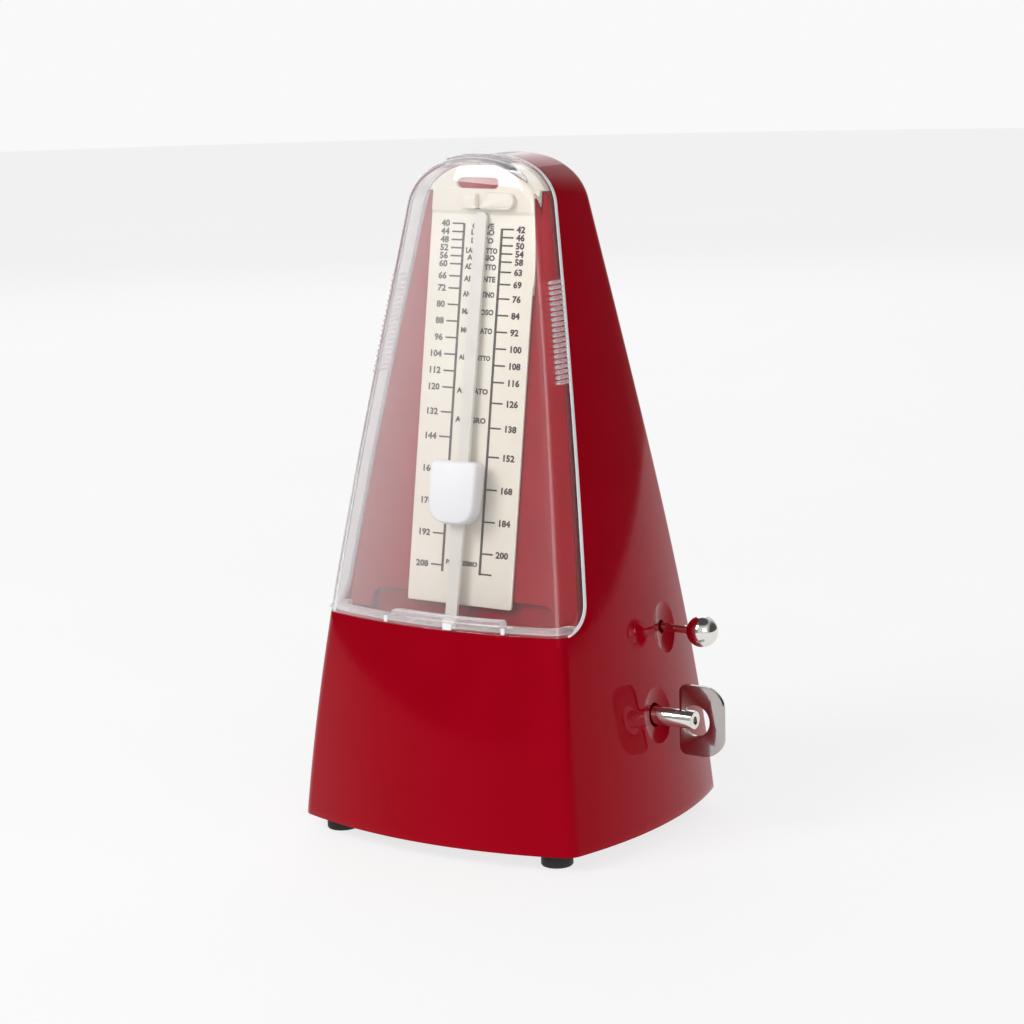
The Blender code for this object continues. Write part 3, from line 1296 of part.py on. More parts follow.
def make_bell():
    """Bell dome on a post from the left frame plate, with its nut."""
    centre = (BELL_Y, BELL_Z)
    plate_face = -FRAME_HALF - FRAME_PLATE
    mouth = BELL_X
    crown = BELL_X - BELL_DEPTH
    flat = BELL_RADIUS - 3.0
    inner = BELL_RADIUS - BELL_WALL
    bore = 1.8
    profile = (
        (BELL_RADIUS, mouth), (BELL_RADIUS, crown + 3.0), (flat, crown), (bore, crown),
        (bore, crown + BELL_WALL), (flat - 0.4, crown + BELL_WALL), (inner, crown + 3.4), (inner, mouth))
    finish(turned("bell_dome", profile, "X", centre, 24), "brass")
    seat = crown + BELL_WALL + PART_GAP
    post = turned("bell_post", (
        (0, plate_face - PART_GAP), (2.6, plate_face - PART_GAP), (2.6, seat), (1.4, seat),
        (1.4, crown - 2.6), (0, crown - 2.6)), "X", centre, SMALL_SEGMENTS)
    finish(post, "steel")
    nut = tube("bell_nut", 1.4 + PART_GAP, 3.2, crown - 2.0, crown - PART_GAP, "X", centre, 6)
    finish(nut, "steel")


def make_selector():
    """Bell selector rod with its ball knob, the hammer on it, and the detent spring."""
    centre = (SELECTOR_Y, SELECTOR_Z)
    axis = add_frame("selector_axis", (SELECTOR_FACE_X, *centre))
    left = HAMMER_HEAD_X - 4.0
    knob_x = SELECTOR_FACE_X + KNOB_STAND
    groove = SELECTOR_RADIUS - 0.35
    profile = [(0, left), (SELECTOR_RADIUS, left)]
    detent_x = FRAME_HALF - 5.0
    for i in range(-2, 3):
        middle = detent_x + i * SELECTOR_TRAVEL / 2
        profile += [(SELECTOR_RADIUS, middle - 0.6), (groove, middle), (SELECTOR_RADIUS, middle + 0.6)]
    profile += [(SELECTOR_RADIUS, knob_x), (0, knob_x)]
    finish(turned("selector_rod", profile, "X", centre, SMALL_SEGMENTS), "steel", axis)

    rise = 10
    bore = SELECTOR_RADIUS + PART_GAP
    neck = 2.3
    start = -math.sqrt(KNOB_RADIUS ** 2 - neck ** 2)
    ball = [(0, knob_x + PART_GAP), (bore, knob_x + PART_GAP), (bore, knob_x + start - 0.8),
            (neck, knob_x + start - 0.8)]
    first = math.atan2(neck, start)
    for i in range(rise):
        angle = first * (1 - i / rise)
        ball.append((KNOB_RADIUS * math.sin(angle), knob_x + KNOB_RADIUS * math.cos(angle)))
    ball.append((0, knob_x + KNOB_RADIUS))
    finish(turned("selector_knob", ball, "X", centre, ROUND_SEGMENTS), "chrome", axis)

    hammer_axis = add_frame("hammer_axis", (HAMMER_HEAD_X, *centre))
    tube_left = HAMMER_HEAD_X - 1.6
    tube_right = FINGER_X + DRUM_TRACK_PITCH
    hammer = tube("hammer_arm", SELECTOR_RADIUS + RUNNING_GAP, HAMMER_TUBE_RADIUS, tube_left, tube_right,
                  "X", centre, SMALL_SEGMENTS)
    head_z = BELL_Z + BELL_RADIUS + HAMMER_REST_GAP + HAMMER_HEAD_RADIUS
    head_at = (BELL_Y, head_z)
    join(hammer, bar_between("arm", centre, head_at, HAMMER_HEAD_X - 0.8, HAMMER_HEAD_X + 0.8, 1.1, 2.2, 1.2))
    away = Vector(centre) - SECOND_CENTRE
    reach = DRUM_RADIUS + DRUM_PIN_HEIGHT + PART_GAP
    finger_tip = SECOND_CENTRE + away.normalized() * reach
    finger = bar_between("finger", centre, tuple(finger_tip), FINGER_X + 0.3, FINGER_X + 1.7, 0.8, 2.2, 0.0)
    join(hammer, finger)
    hollow = rod("rod_room", SELECTOR_RADIUS + RUNNING_GAP, tube_left - 1, tube_right + 1, "X", centre)
    cut(hammer, hollow)
    finish(hammer, "steel", hammer_axis)
    head = turned("hammer_head", (
        (0, HAMMER_HEAD_X + 1.1), (HAMMER_HEAD_RADIUS, HAMMER_HEAD_X + 1.1),
        (HAMMER_HEAD_RADIUS, HAMMER_HEAD_X + 3.4), (0, HAMMER_HEAD_X + 3.4)), "X", head_at, SMALL_SEGMENTS)
    finish(head, "brass", hammer_axis)


def bar_between(name, start, end, low, high, end_half, start_half, past):
    """Flat tapered bar between two places in the YZ plane."""
    a = Vector(start)
    b = Vector(end)
    along = (b - a).normalized()
    side = Vector((-along.y, along.x))
    b = b + along * past
    points = [a - side * start_half, b - side * end_half, b + side * end_half, a + side * start_half]
    return prism(name, [tuple(p) for p in points], low, high, "X")


def make_detent_spring():
    """Leaf on the right frame plate that clicks into the selector rod's grooves."""
    detent_x = FRAME_HALF - 5.0
    under = SELECTOR_Z + SELECTOR_RADIUS
    face = FRAME_HALF - PART_GAP
    leaf = 0.4
    outline = (
        (face, under + 4.6), (face, under + 2.2), (face - leaf, under + 2.2), (face - 1.2, under + 3.6),
        (detent_x + 0.6, under + 1.2), (detent_x, under + PART_GAP), (detent_x - 0.6, under + 1.2),
        (detent_x - 0.4, under + 1.7), (detent_x, under + 1.0), (face - 1.2, under + 4.2))
    spring = prism("detent_spring", outline, SELECTOR_Y - 1.5, SELECTOR_Y + 1.5, "Y")
    finish(spring, "spring_steel")


# ---------------------------------------------------------------- assembly


def centre_on_bounds():
    """Move the whole object so that the middle of its bounding box is over the origin."""
    bpy.context.view_layer.update()
    lows = []
    highs = []
    for obj in bpy.context.scene.objects:
        if obj.type != "MESH":
            continue
        corners = [obj.matrix_world @ v.co for v in obj.data.vertices]
        lows.append((min(c.x for c in corners), min(c.y for c in corners)))
        highs.append((max(c.x for c in corners), max(c.y for c in corners)))
    root = bpy.data.objects[ROOT_NAME]
    root.location.x -= (min(p[0] for p in lows) + max(p[0] for p in highs)) / 2
    root.location.y -= (min(p[1] for p in lows) + max(p[1] for p in highs)) / 2


def main():
    """Build every piece."""
    for obj in list(bpy.data.objects):
        bpy.data.objects.remove(obj)
    root = bpy.data.objects.new(ROOT_NAME, None)
    bpy.context.scene.collection.objects.link(root)
    make_case()
    make_panel()
    make_cover()
    panel_frame = make_scale_plate()
    make_catch(panel_frame)
    make_base()
    make_frame_plates()
    make_verge_bracket()
    make_escape_bridge()
    make_great_wheel()
    make_winding()
    make_mainspring()
    make_second_wheel()
    make_escape()
    axis = make_pendulum()
    make_sliding_weight(axis)
    make_bell()
    make_selector()
    make_detent_spring()
    centre_on_bounds()


main()
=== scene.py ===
"""Looks of a pyramid metronome: case, clear cover, scale, pendulum, key and bell knob.

Shapes are written in millimetres in the case's own frame, whose middle is the middle of the base, and become
metres in the shared frame as their meshes are made. The front is towards -Y.
"""

from __future__ import annotations

import logging
import math
from dataclasses import dataclass, field
from enum import Enum
from typing import Iterable, Sequence

import bmesh
import bpy
from mathutils import Matrix, Vector


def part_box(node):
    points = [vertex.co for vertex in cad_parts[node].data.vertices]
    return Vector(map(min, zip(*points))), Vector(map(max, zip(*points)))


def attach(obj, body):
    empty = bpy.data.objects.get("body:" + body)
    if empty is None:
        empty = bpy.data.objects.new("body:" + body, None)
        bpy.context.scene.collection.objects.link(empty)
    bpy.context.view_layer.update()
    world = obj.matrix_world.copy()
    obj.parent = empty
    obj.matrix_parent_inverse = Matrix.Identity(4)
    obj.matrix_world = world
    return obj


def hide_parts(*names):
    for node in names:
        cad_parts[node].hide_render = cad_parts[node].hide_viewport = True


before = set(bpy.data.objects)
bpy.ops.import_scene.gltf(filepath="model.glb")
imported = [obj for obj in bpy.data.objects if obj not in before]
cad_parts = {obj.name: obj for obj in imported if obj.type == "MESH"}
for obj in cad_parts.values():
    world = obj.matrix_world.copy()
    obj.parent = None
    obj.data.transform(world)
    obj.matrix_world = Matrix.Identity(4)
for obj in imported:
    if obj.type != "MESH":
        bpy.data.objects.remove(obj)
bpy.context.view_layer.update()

MM = 0.001
LOG = logging.getLogger("metronome")

Point = tuple[float, float, float]
Colour = tuple[float, float, float]


# ---------------------------------------------------------------- finishes


def new_node(tree: bpy.types.NodeTree, kind: str, **settings: object) -> bpy.types.Node:
    """Add a node to a tree.

    Args:
        tree: Tree to add to.
        kind: Blender's name of the node type.
        settings: Attributes to set on the node.

    Returns:
        The new node.
    """
    node = tree.nodes.new(kind)
    for key, value in settings.items():
        setattr(node, key, value)
    return node


def noise(tree: bpy.types.NodeTree, scale: float, detail: float = 3.0) -> bpy.types.Node:
    """Add a noise on the piece's own metres.

    Args:
        tree: Material's tree.
        scale: Noise scale, in cells per metre.
        detail: Octaves.

    Returns:
        The noise node.
    """
    place = new_node(tree, "ShaderNodeTexCoord")
    node = new_node(tree, "ShaderNodeTexNoise")
    node.inputs["Scale"].default_value = scale
    node.inputs["Detail"].default_value = detail
    tree.links.new(place.outputs["Object"], node.inputs["Vector"])
    return node


def remap(tree: bpy.types.NodeTree, source: bpy.types.NodeSocket, low: float, high: float,
          to_low: float, to_high: float) -> bpy.types.NodeSocket:
    """Map a value from one range to another.

    Args:
        tree: Material's tree.
        source: Socket that gives the value.
        low: Lowest value read.
        high: Highest value read.
        to_low: Result at low.
        to_high: Result at high.

    Returns:
        The socket that gives the result.
    """
    node = new_node(tree, "ShaderNodeMapRange")
    for name, value in (("From Min", low), ("From Max", high), ("To Min", to_low), ("To Max", to_high)):
        node.inputs[name].default_value = value
    tree.links.new(source, node.inputs["Value"])
    return node.outputs["Result"]


def height_bump(tree: bpy.types.NodeTree, source: bpy.types.NodeSocket, depth: float) -> bpy.types.NodeSocket:
    """Turn a pattern into a bump.

    Args:
        tree: Material's tree.
        source: Socket that gives the pattern.
        depth: Height of the relief, in metres.

    Returns:
        The normal's socket.
    """
    bump = new_node(tree, "ShaderNodeBump")
    bump.inputs["Strength"].default_value = 1.0
    bump.inputs["Distance"].default_value = depth
    tree.links.new(source, bump.inputs["Height"])
    return bump.outputs["Normal"]


@dataclass(frozen=True)
class Finish:
    """A solid surface: two close colours, a gloss that varies a little, and a fine relief."""

    name: str
    light: Colour
    dark: Colour
    roughness: float
    roughness_spread: float = 0.03
    metallic: float = 0.0
    specular: float = 0.5
    specular_tint: Colour = (1.0, 1.0, 1.0)
    mottle_scale: float = 60.0
    relief_scale: float = 900.0
    relief_depth: float = 0.00001
    relief_stretch: Point = (1.0, 1.0, 1.0)

    def material(self) -> bpy.types.Material:
        """Build the finish the first time it is asked for.

        Returns:
            The material.
        """
        known = bpy.data.materials.get(self.name)
        if known is not None:
            return known
        material = bpy.data.materials.new(self.name)
        material.use_nodes = True
        tree = material.node_tree
        shader = tree.nodes["Principled BSDF"]
        mottle = noise(tree, self.mottle_scale)
        colours = new_node(tree, "ShaderNodeValToRGB")
        for element, position, colour in zip(colours.color_ramp.elements, (0.3, 0.7), (self.dark, self.light)):
            element.position = position
            element.color = (*colour, 1.0)
        tree.links.new(mottle.outputs["Fac"], colours.inputs["Fac"])
        tree.links.new(colours.outputs["Color"], shader.inputs["Base Color"])
        wear = noise(tree, self.mottle_scale * 7.0, 5.0)
        gloss = remap(tree, wear.outputs["Fac"], 0.3, 0.7, max(0.0, self.roughness - self.roughness_spread),
                      self.roughness + self.roughness_spread)
        tree.links.new(gloss, shader.inputs["Roughness"])
        relief = noise(tree, self.relief_scale, 2.0)
        stretch = new_node(tree, "ShaderNodeMapping")
        stretch.inputs["Scale"].default_value = self.relief_stretch
        place = new_node(tree, "ShaderNodeTexCoord")
        tree.links.new(place.outputs["Object"], stretch.inputs["Vector"])
        tree.links.new(stretch.outputs["Vector"], relief.inputs["Vector"])
        tree.links.new(height_bump(tree, relief.outputs["Fac"], self.relief_depth), shader.inputs["Normal"])
        shader.inputs["Metallic"].default_value = self.metallic
        shader.inputs["Specular IOR Level"].default_value = self.specular
        shader.inputs["Specular Tint"].default_value = (*self.specular_tint, 1.0)
        return material


@dataclass(frozen=True)
class ClearFinish:
    """Clear moulded plastic that lets lamps through, with a painted reflection: a faint white sheen mixed in, stronger
    towards one upper corner.
    """

    name: str
    tint: Colour = (1.0, 1.0, 1.0)
    ior: float = 1.49
    # Painted reflection: an even share of white sheen, plus an extra share towards -X that grows with height.
    veil: float = 0.02
    veil_side: float = 0.26
    veil_from: float = 0.012
    veil_to: float = -0.05
    roughness: float = 0.0
    veil_foot_z: float = 0.075
    veil_head_z: float = 0.21
    veil_foot_share: float = 0.62
    veil_colour: Colour = (0.94, 0.94, 0.95)
    ripple_scale: float = 70.0
    ripple_depth: float = 0.000002

    def material(self) -> bpy.types.Material:
        """Build the finish the first time it is asked for.

        Returns:
            The material.
        """
        known = bpy.data.materials.get(self.name)
        if known is not None:
            return known
        material = bpy.data.materials.new(self.name)
        material.use_nodes = True
        tree = material.node_tree
        glass = tree.nodes["Principled BSDF"]
        glass.inputs["Base Color"].default_value = (*self.tint, 1.0)
        glass.inputs["Transmission Weight"].default_value = 1.0
        glass.inputs["Roughness"].default_value = self.roughness
        glass.inputs["IOR"].default_value = self.ior
        ripple = noise(tree, self.ripple_scale, 2.0)
        tree.links.new(height_bump(tree, ripple.outputs["Fac"], self.ripple_depth), glass.inputs["Normal"])
        # Painted reflection: a white diffuse sheen mixed over the glass, its share set by the piece's own X and Z,
        # most towards -X and high up.
        painted_reflection = new_node(tree, "ShaderNodeBsdfDiffuse")
        painted_reflection.inputs["Color"].default_value = (*self.veil_colour, 1.0)
        place = new_node(tree, "ShaderNodeTexCoord")
        axes = new_node(tree, "ShaderNodeSeparateXYZ")
        tree.links.new(place.outputs["Object"], axes.inputs["Vector"])
        side = remap(tree, axes.outputs["X"], self.veil_from, self.veil_to, 0.0, self.veil_side)
        rise = remap(tree, axes.outputs["Z"], self.veil_foot_z, self.veil_head_z, self.veil_foot_share, 1.0)
        share = new_node(tree, "ShaderNodeMath", operation="MULTIPLY_ADD")
        tree.links.new(side, share.inputs[0])
        tree.links.new(rise, share.inputs[1])
        share.inputs[2].default_value = self.veil
        with_reflection = new_node(tree, "ShaderNodeMixShader")
        tree.links.new(share.outputs[0], with_reflection.inputs["Fac"])
        tree.links.new(glass.outputs["BSDF"], with_reflection.inputs[1])
        tree.links.new(painted_reflection.outputs["BSDF"], with_reflection.inputs[2])
        through = new_node(tree, "ShaderNodeBsdfTransparent")
        ray = new_node(tree, "ShaderNodeLightPath")
        lamps = new_node(tree, "ShaderNodeMixShader")
        tree.links.new(ray.outputs["Is Shadow Ray"], lamps.inputs["Fac"])
        tree.links.new(with_reflection.outputs["Shader"], lamps.inputs[1])
        tree.links.new(through.outputs["BSDF"], lamps.inputs[2])
        tree.links.new(lamps.outputs["Shader"], tree.nodes["Material Output"].inputs["Surface"])
        return material


CASE_RED = Finish("Red_Case", (0.345, 0.0009, 0.010), (0.325, 0.0006, 0.008), 0.07, 0.02, specular=0.3,
                  specular_tint=(1.0, 0.05, 0.09), relief_scale=260.0, relief_depth=0.000003)
PANEL_RED = Finish("Red_Panel", (0.33, 0.0012, 0.008), (0.29, 0.001, 0.006), 0.22, 0.03, specular=0.5,
                   specular_tint=(1.0, 0.1, 0.14), relief_scale=400.0, relief_depth=0.000002)
CLEAR = ClearFinish("Clear_Plastic")
# White matte finish: the lugs' own colour, and on the rim bead a painted highlight along the cover's rear edge.
FROSTED_LUG_AND_RIM_HIGHLIGHT = Finish("Frosted_Lugs_And_Rim_Highlight", (0.93, 0.93, 0.95), (0.82, 0.82, 0.85), 0.18, specular=0.6,
                    relief_scale=700.0, relief_depth=0.00002)
# Clear lip and grips: glass with a stronger painted reflection, an even white sheen of 0.2 and up to 0.1 more towards
# -X.
CLEAR_LIP = ClearFinish("Clear_Lip", (1.0, 0.95, 0.96), 1.49, 0.2, 0.1, 0.012, -0.05, 0.06)
CREAM = Finish("Cream_Plate", (0.86, 0.80, 0.70), (0.82, 0.76, 0.66), 0.38, specular=0.4, relief_scale=1800.0,
               relief_depth=0.00001)
INK = Finish("Scale_Ink", (0.075, 0.055, 0.055), (0.04, 0.03, 0.03), 0.5, specular=0.3, mottle_scale=900.0)
PALE_METAL = Finish("Rod_Metal", (0.84, 0.81, 0.75), (0.76, 0.73, 0.67), 0.34, 0.06, 0.35, relief_scale=400.0,
                    relief_depth=0.000008, relief_stretch=(30.0, 1.0, 1.0))
WEIGHT_WHITE = Finish("Weight_Satin", (0.86, 0.87, 0.90), (0.84, 0.85, 0.88), 0.34, 0.03, 0.0,
                      relief_scale=1600.0, relief_depth=0.000003)
CHROME = Finish("Nickel", (0.82, 0.79, 0.76), (0.74, 0.71, 0.68), 0.06, 0.02, 1.0, relief_scale=500.0,
                relief_depth=0.000002)
KEY_STEEL = Finish("Key_Nickel", (0.50, 0.46, 0.45), (0.42, 0.38, 0.37), 0.08, 0.02, 1.0, relief_scale=500.0,
                   relief_depth=0.000002)
BRASS = Finish("Brass", (0.74, 0.50, 0.19), (0.62, 0.40, 0.14), 0.26, 0.08, 1.0, relief_scale=800.0,
               relief_depth=0.00001, relief_stretch=(1.0, 6.0, 1.0))
STEEL = Finish("Steel", (0.58, 0.58, 0.60), (0.46, 0.46, 0.48), 0.3, 0.08, 1.0, relief_scale=900.0,
               relief_depth=0.00001, relief_stretch=(1.0, 8.0, 1.0))
BLUED = Finish("Blued_Spring", (0.07, 0.09, 0.17), (0.04, 0.05, 0.10), 0.28, 0.06, 1.0)
LEAD = Finish("Bob_Lead", (0.30, 0.30, 0.31), (0.20, 0.20, 0.21), 0.55, 0.1, 0.8, mottle_scale=200.0,
              relief_scale=500.0, relief_depth=0.00005)
RUBBER = Finish("Black_Rubber", (0.022, 0.022, 0.023), (0.012, 0.012, 0.013), 0.62, 0.08, specular=0.3,
                relief_scale=1600.0, relief_depth=0.00004)
BLACK_PLATE = Finish("Base_Black", (0.035, 0.034, 0.034), (0.02, 0.02, 0.02), 0.5, 0.08, specular=0.4,
                     relief_scale=1400.0, relief_depth=0.00004)
CAM_PLASTIC = Finish("Cam_Nylon", (0.78, 0.76, 0.70), (0.70, 0.68, 0.62), 0.42, 0.06, relief_scale=1200.0)


# ---------------------------------------------------------------- shared form and mesh helpers


@dataclass
class CaseForm:
    """Outside form of the case and its clear cover, which together are one tapering, bowed shape."""

    bottom_z: float = 5.5
    apron_top_z: float = 74.6
    level_top_z: float = 211.0
    top_z: float = 224.5
    base_width: float = 106.0
    base_depth: float = 94.0
    top_width: float = 49.6
    top_depth: float = 34.4
    side_swell: float = 2.2
    front_swell: float = 2.3
    front_swell_skew: float = 1.1
    face_radius: float = 155.0
    corner_radius: float = 3.0
    roof_spring_z: float = 209.0
    roof_power: float = 2.3
    panel_recess: float = 11.1
    foot_corner: float = 9.0
    crown_radius: float = 2.4
    wall: float = 2.4
    shoulder_behind: float = 1.5
    corner_steps: int = 8
    face_steps: int = 20
    side_steps: int = 18
    shift: Point = field(default_factory=lambda: case_middle())

    def share(self, z: float) -> float:
        """Share of the way from the bottom edge to the top level."""
        return (z - self.bottom_z) / (self.level_top_z - self.bottom_z)

    def half_width(self, z: float) -> float:
        """Half the width at the corners, at height z."""
        t = self.share(z)
        return (self.base_width + (self.top_width - self.base_width) * t) / 2 + self.side_swell * 4 * t * (1 - t)

    def half_depth(self, z: float) -> float:
        """Half the depth at the corners, at height z.

        Args:
            z: Height.

        Returns:
            Distance from the middle to a front or back corner.
        """
        t = self.share(z)
        swell = self.front_swell * 4 * t * (1 - t) * (1 + self.front_swell_skew * (1 - 2 * t))
        return (self.base_depth + (self.top_depth - self.base_depth) * t) / 2 + swell

    def rise(self, half_chord: float, offset: float, inset: float = 0.0) -> float:
        """Height of a bowed face above its chord, at an offset from its middle.

        Args:
            half_chord: Half the length of the chord.
            offset: Distance from the middle of the chord.
            inset: How far the surface is moved in.

        Returns:
            Height above the chord.
        """
        radius = self.face_radius - inset
        across = min(abs(offset), half_chord)
        return math.sqrt(radius ** 2 - across ** 2) - math.sqrt(radius ** 2 - half_chord ** 2)

    def panel_slope(self) -> float:
        """How far the front panel leans back for each millimetre of height."""
        return (self.half_depth(self.apron_top_z) - self.half_depth(self.level_top_z)) / (
            self.level_top_z - self.apron_top_z)

    def panel_y(self, z: float) -> float:
        """Front face of the panel at height z."""
        return -self.half_depth(self.apron_top_z) + self.panel_recess + self.panel_slope() * (z - self.apron_top_z)

    def side_x(self, y: float, z: float, inset: float = 0.0, narrow: float = 1.0) -> float:
        """Outside of the right side at a place, moved in by an inset."""
        half_depth = self.half_depth(z) - inset
        return (self.half_width(z) - inset) * narrow + self.rise(half_depth, y, inset)

    def crown_drop(self, z: float) -> float:
        """How far the front and back edges round over, close under the top."""
        up = min(max(0.0, z - (self.top_z - self.crown_radius)), self.crown_radius)
        return self.crown_radius - math.sqrt(max(0.0, self.crown_radius ** 2 - up ** 2))

    def narrow_at(self, z: float, inset: float = 0.0) -> float:
        """Share of the width that the arched roof leaves at height z.

        Args:
            z: Height.
            inset: How far the surface is moved in.

        Returns:
            A share from 0 to 1.
        """
        up = min(1.0, max(0.0, (z - self.roof_spring_z) / (self.top_z - inset - self.roof_spring_z)))
        sine = up ** (self.roof_power / 2)
        return math.sqrt(max(0.0, 1 - sine ** 2)) ** (2 / self.roof_power)

    def levels(self, low: float, inset: float = 0.0) -> list[tuple[float, float]]:
        """Heights of the rows above the apron.

        Args:
            low: Lowest height.
            inset: How far the surface is moved in.

        Returns:
            Pairs of height and the share of the width that is left there.
        """
        rows = [(low + self.foot_corner * (1 - math.cos(math.pi / 2 * i / 9)), 1.0) for i in range(10)]
        start = rows[-1][0]
        rows += [(start + (self.roof_spring_z - start) * i / 34, 1.0) for i in range(1, 35)]
        height = self.top_z - inset - self.roof_spring_z
        for i in range(1, 27):
            angle = math.radians(88.5) * i / 26
            z = self.roof_spring_z + height * math.sin(angle) ** (2 / self.roof_power)
            rows.append((z, math.cos(angle) ** (2 / self.roof_power)))
        return rows

    def corner(self, start: Vector, tip: Vector, end: Vector) -> list[Vector]:
        """Points strictly inside a rounded corner.

        Args:
            start: Where the rounding starts.
            tip: Sharp corner that it replaces.
            end: Where the rounding ends.

        Returns:
            Points between the start and the end.
        """
        points = []
        for k in range(1, self.corner_steps):
            t = k / self.corner_steps
            points.append(start * (1 - t) ** 2 + tip * 2 * t * (1 - t) + end * t ** 2)
        return points

    def half_outline(self, z: float, narrow: float, inset: float, split: float, back: bool) -> list[Vector]:
        """Half of the plan outline at a height: from the right side's split round to the middle of an end.

        Args:
            z: Height.
            narrow: Share of the width that the roof leaves.
            inset: How far the surface is moved in.
            split: Place on the side where the outline starts.
            back: True for the rear half, False for the front half.

        Returns:
            Points in the XY plane.
        """
        width = (self.half_width(z) - inset) * narrow
        depth = self.half_depth(z) - inset - self.crown_drop(z + inset)
        radius = min(self.corner_radius, 0.45 * width, 0.45 * depth)
        way = 1 if back else -1
        stop = way * (depth - radius)
        points = []
        for i in range(self.side_steps + 1):
            y = split + (stop - split) * i / self.side_steps
            points.append(Vector((width + self.rise(self.half_depth(z) - inset, y, inset), y)))
        end_y = way * (depth + self.rise(width, width - radius, inset))
        points += self.corner(points[-1], Vector((width, way * depth)), Vector((width - radius, end_y)))
        for i in range(self.face_steps + 1):
            x = (width - radius) * (1 - i / self.face_steps)
            points.append(Vector((x, way * (depth + self.rise(width, x, inset)))))
        return points

    def outline(self, z: float, narrow: float, inset: float, split: float, back: bool) -> list[Point]:
        """Outline from one side's split to the other's, round the back or the front, from right to left.

        Args:
            z: Height.
            narrow: Share of the width that the roof leaves.
            inset: How far the surface is moved in.
            split: Place on the sides where the outline starts and ends.
            back: True for the rear half, False for the front half.

        Returns:
            Points at height z.
        """
        half = self.half_outline(z, narrow, inset, split, back)
        left = [Vector((-p.x, p.y)) for p in reversed(half[:-1])]
        return [(p.x, p.y, z) for p in half + left]

    def split_y(self, z: float, behind: float, low: float) -> float:
        """Where the case meets the cover on its sides, with the lower corner rounded forwards.

        Args:
            z: Height.
            behind: How far the meeting line stands behind the panel's face.
            low: Height where the lower corner starts.

        Returns:
            Place of the meeting line.
        """
        up = z - low
        forward = 0.0
        if up < self.foot_corner:
            forward = self.foot_corner - math.sqrt(max(0.0, self.foot_corner ** 2 - (self.foot_corner - up) ** 2))
        return self.panel_y(z) + behind - forward

    def to_frame(self, points: Iterable[Sequence[float]]) -> list[Vector]:
        """Places of design points in the shared frame, in metres."""
        move = Vector(self.shift)
        return [Vector(p) * MM + move for p in points]


def case_middle() -> Point:
    """Middle of the case's base in the shared frame, in metres."""
    low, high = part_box("casing_shell")
    return ((low[0] + high[0]) / 2, (low[1] + high[1]) / 2, 0.0)


FORM = CaseForm()


def make_piece(name: str, bm: bmesh.types.BMesh, finish: Finish | ClearFinish, inside: Point | None = None,
               angle: float = 38.0) -> bpy.types.Object:
    """Turn a mesh in design millimetres into a dressed piece in the shared frame.

    Args:
        name: Piece's name.
        bm: Mesh, freed here.
        finish: Its finish.
        inside: For an open skin, a point on its inner side; closed solids leave it out.
        angle: Sharpest turn, in degrees, that is shaded smooth.

    Returns:
        The new object.
    """
    bmesh.ops.remove_doubles(bm, verts=bm.verts, dist=1e-4)
    bmesh.ops.recalc_face_normals(bm, faces=bm.faces)
    if inside is not None:
        middle = Vector(inside)
        away = sum(f.normal.dot(f.calc_center_median() - middle) * f.calc_area() for f in bm.faces)
        if away < 0:
            bmesh.ops.reverse_faces(bm, faces=bm.faces)
    for vert, place in zip(bm.verts, FORM.to_frame([v.co for v in bm.verts])):
        vert.co = place
    mesh = bpy.data.meshes.new(name)
    bm.to_mesh(mesh)
    bm.free()
    obj = bpy.data.objects.new(name, mesh)
    bpy.context.scene.collection.objects.link(obj)
    mesh.materials.append(finish.material())
    smooth(obj, angle)
    return obj


def smooth(obj: bpy.types.Object, angle: float = 38.0) -> None:
    """Shade an object smooth except across turns sharper than an angle in degrees."""
    obj.data.shade_smooth()
    obj.data.set_sharp_from_angle(angle=math.radians(angle))


def settle(obj: bpy.types.Object, angle: float = 38.0) -> bpy.types.Object:
    """Apply an object's modifiers to its mesh and shade it again.

    Args:
        obj: Object with modifiers.
        angle: Sharpest turn, in degrees, that is shaded smooth.

    Returns:
        The same object, with a plain mesh.
    """
    bpy.context.view_layer.update()
    result = bpy.data.meshes.new_from_object(obj.evaluated_get(bpy.context.evaluated_depsgraph_get()))
    obj.modifiers.clear()
    obj.data = result
    smooth(obj, angle)
    return obj


def thicken(obj: bpy.types.Object, thickness: float) -> None:
    """Give a skin a wall towards its inner side.

    Args:
        obj: The skin.
        thickness: Wall, in millimetres.
    """
    wall = obj.modifiers.new("Wall", "SOLIDIFY")
    wall.thickness = thickness * MM
    wall.offset = -1.0
    wall.use_even_offset = True


def soften(obj: bpy.types.Object, width: float, segments: int = 2, angle: float = 40.0) -> None:
    """Round an object's sharp edges.

    Args:
        obj: Object to round.
        width: Bevel's width, in millimetres.
        segments: Steps across the bevel.
        angle: Least turn, in degrees, of an edge that is rounded.
    """
    bevel = obj.modifiers.new("Edge", "BEVEL")
    bevel.width = width * MM
    bevel.segments = segments
    bevel.limit_method = "ANGLE"
    bevel.angle_limit = math.radians(angle)
    bevel.use_clamp_overlap = True
    shade = obj.modifiers.new("Shade", "WEIGHTED_NORMAL")
    shade.weight = 60
    shade.keep_sharp = True


def carve(obj: bpy.types.Object, tool: bpy.types.Object) -> None:
    """Cut a tool out of a closed object and remove the tool.

    Args:
        obj: Closed object to cut.
        tool: Closed object to cut away, removed here.
    """
    cut = obj.modifiers.new("Cut", "BOOLEAN")
    cut.operation = "DIFFERENCE"
    cut.solver = "MANIFOLD"
    cut.object = tool
    settle(obj)
    bpy.data.objects.remove(tool)


def add_grid(bm: bmesh.types.BMesh, rows: Sequence[Sequence[Sequence[float]]], closed: bool = False) -> list:
    """Add rows of points joined by quads.

    Args:
        bm: Mesh to add to.
        rows: Rows with the same number of points.
        closed: True if each row's last point joins its first.

    Returns:
        The rows of new vertices.
    """
    made = [[bm.verts.new(p) for p in row] for row in rows]
    for lower, upper in zip(made, made[1:]):
        count = len(lower)
        for i in range(count if closed else count - 1):
            j = (i + 1) % count
            bm.faces.new((lower[i], lower[j], upper[j], upper[i]))
    return made


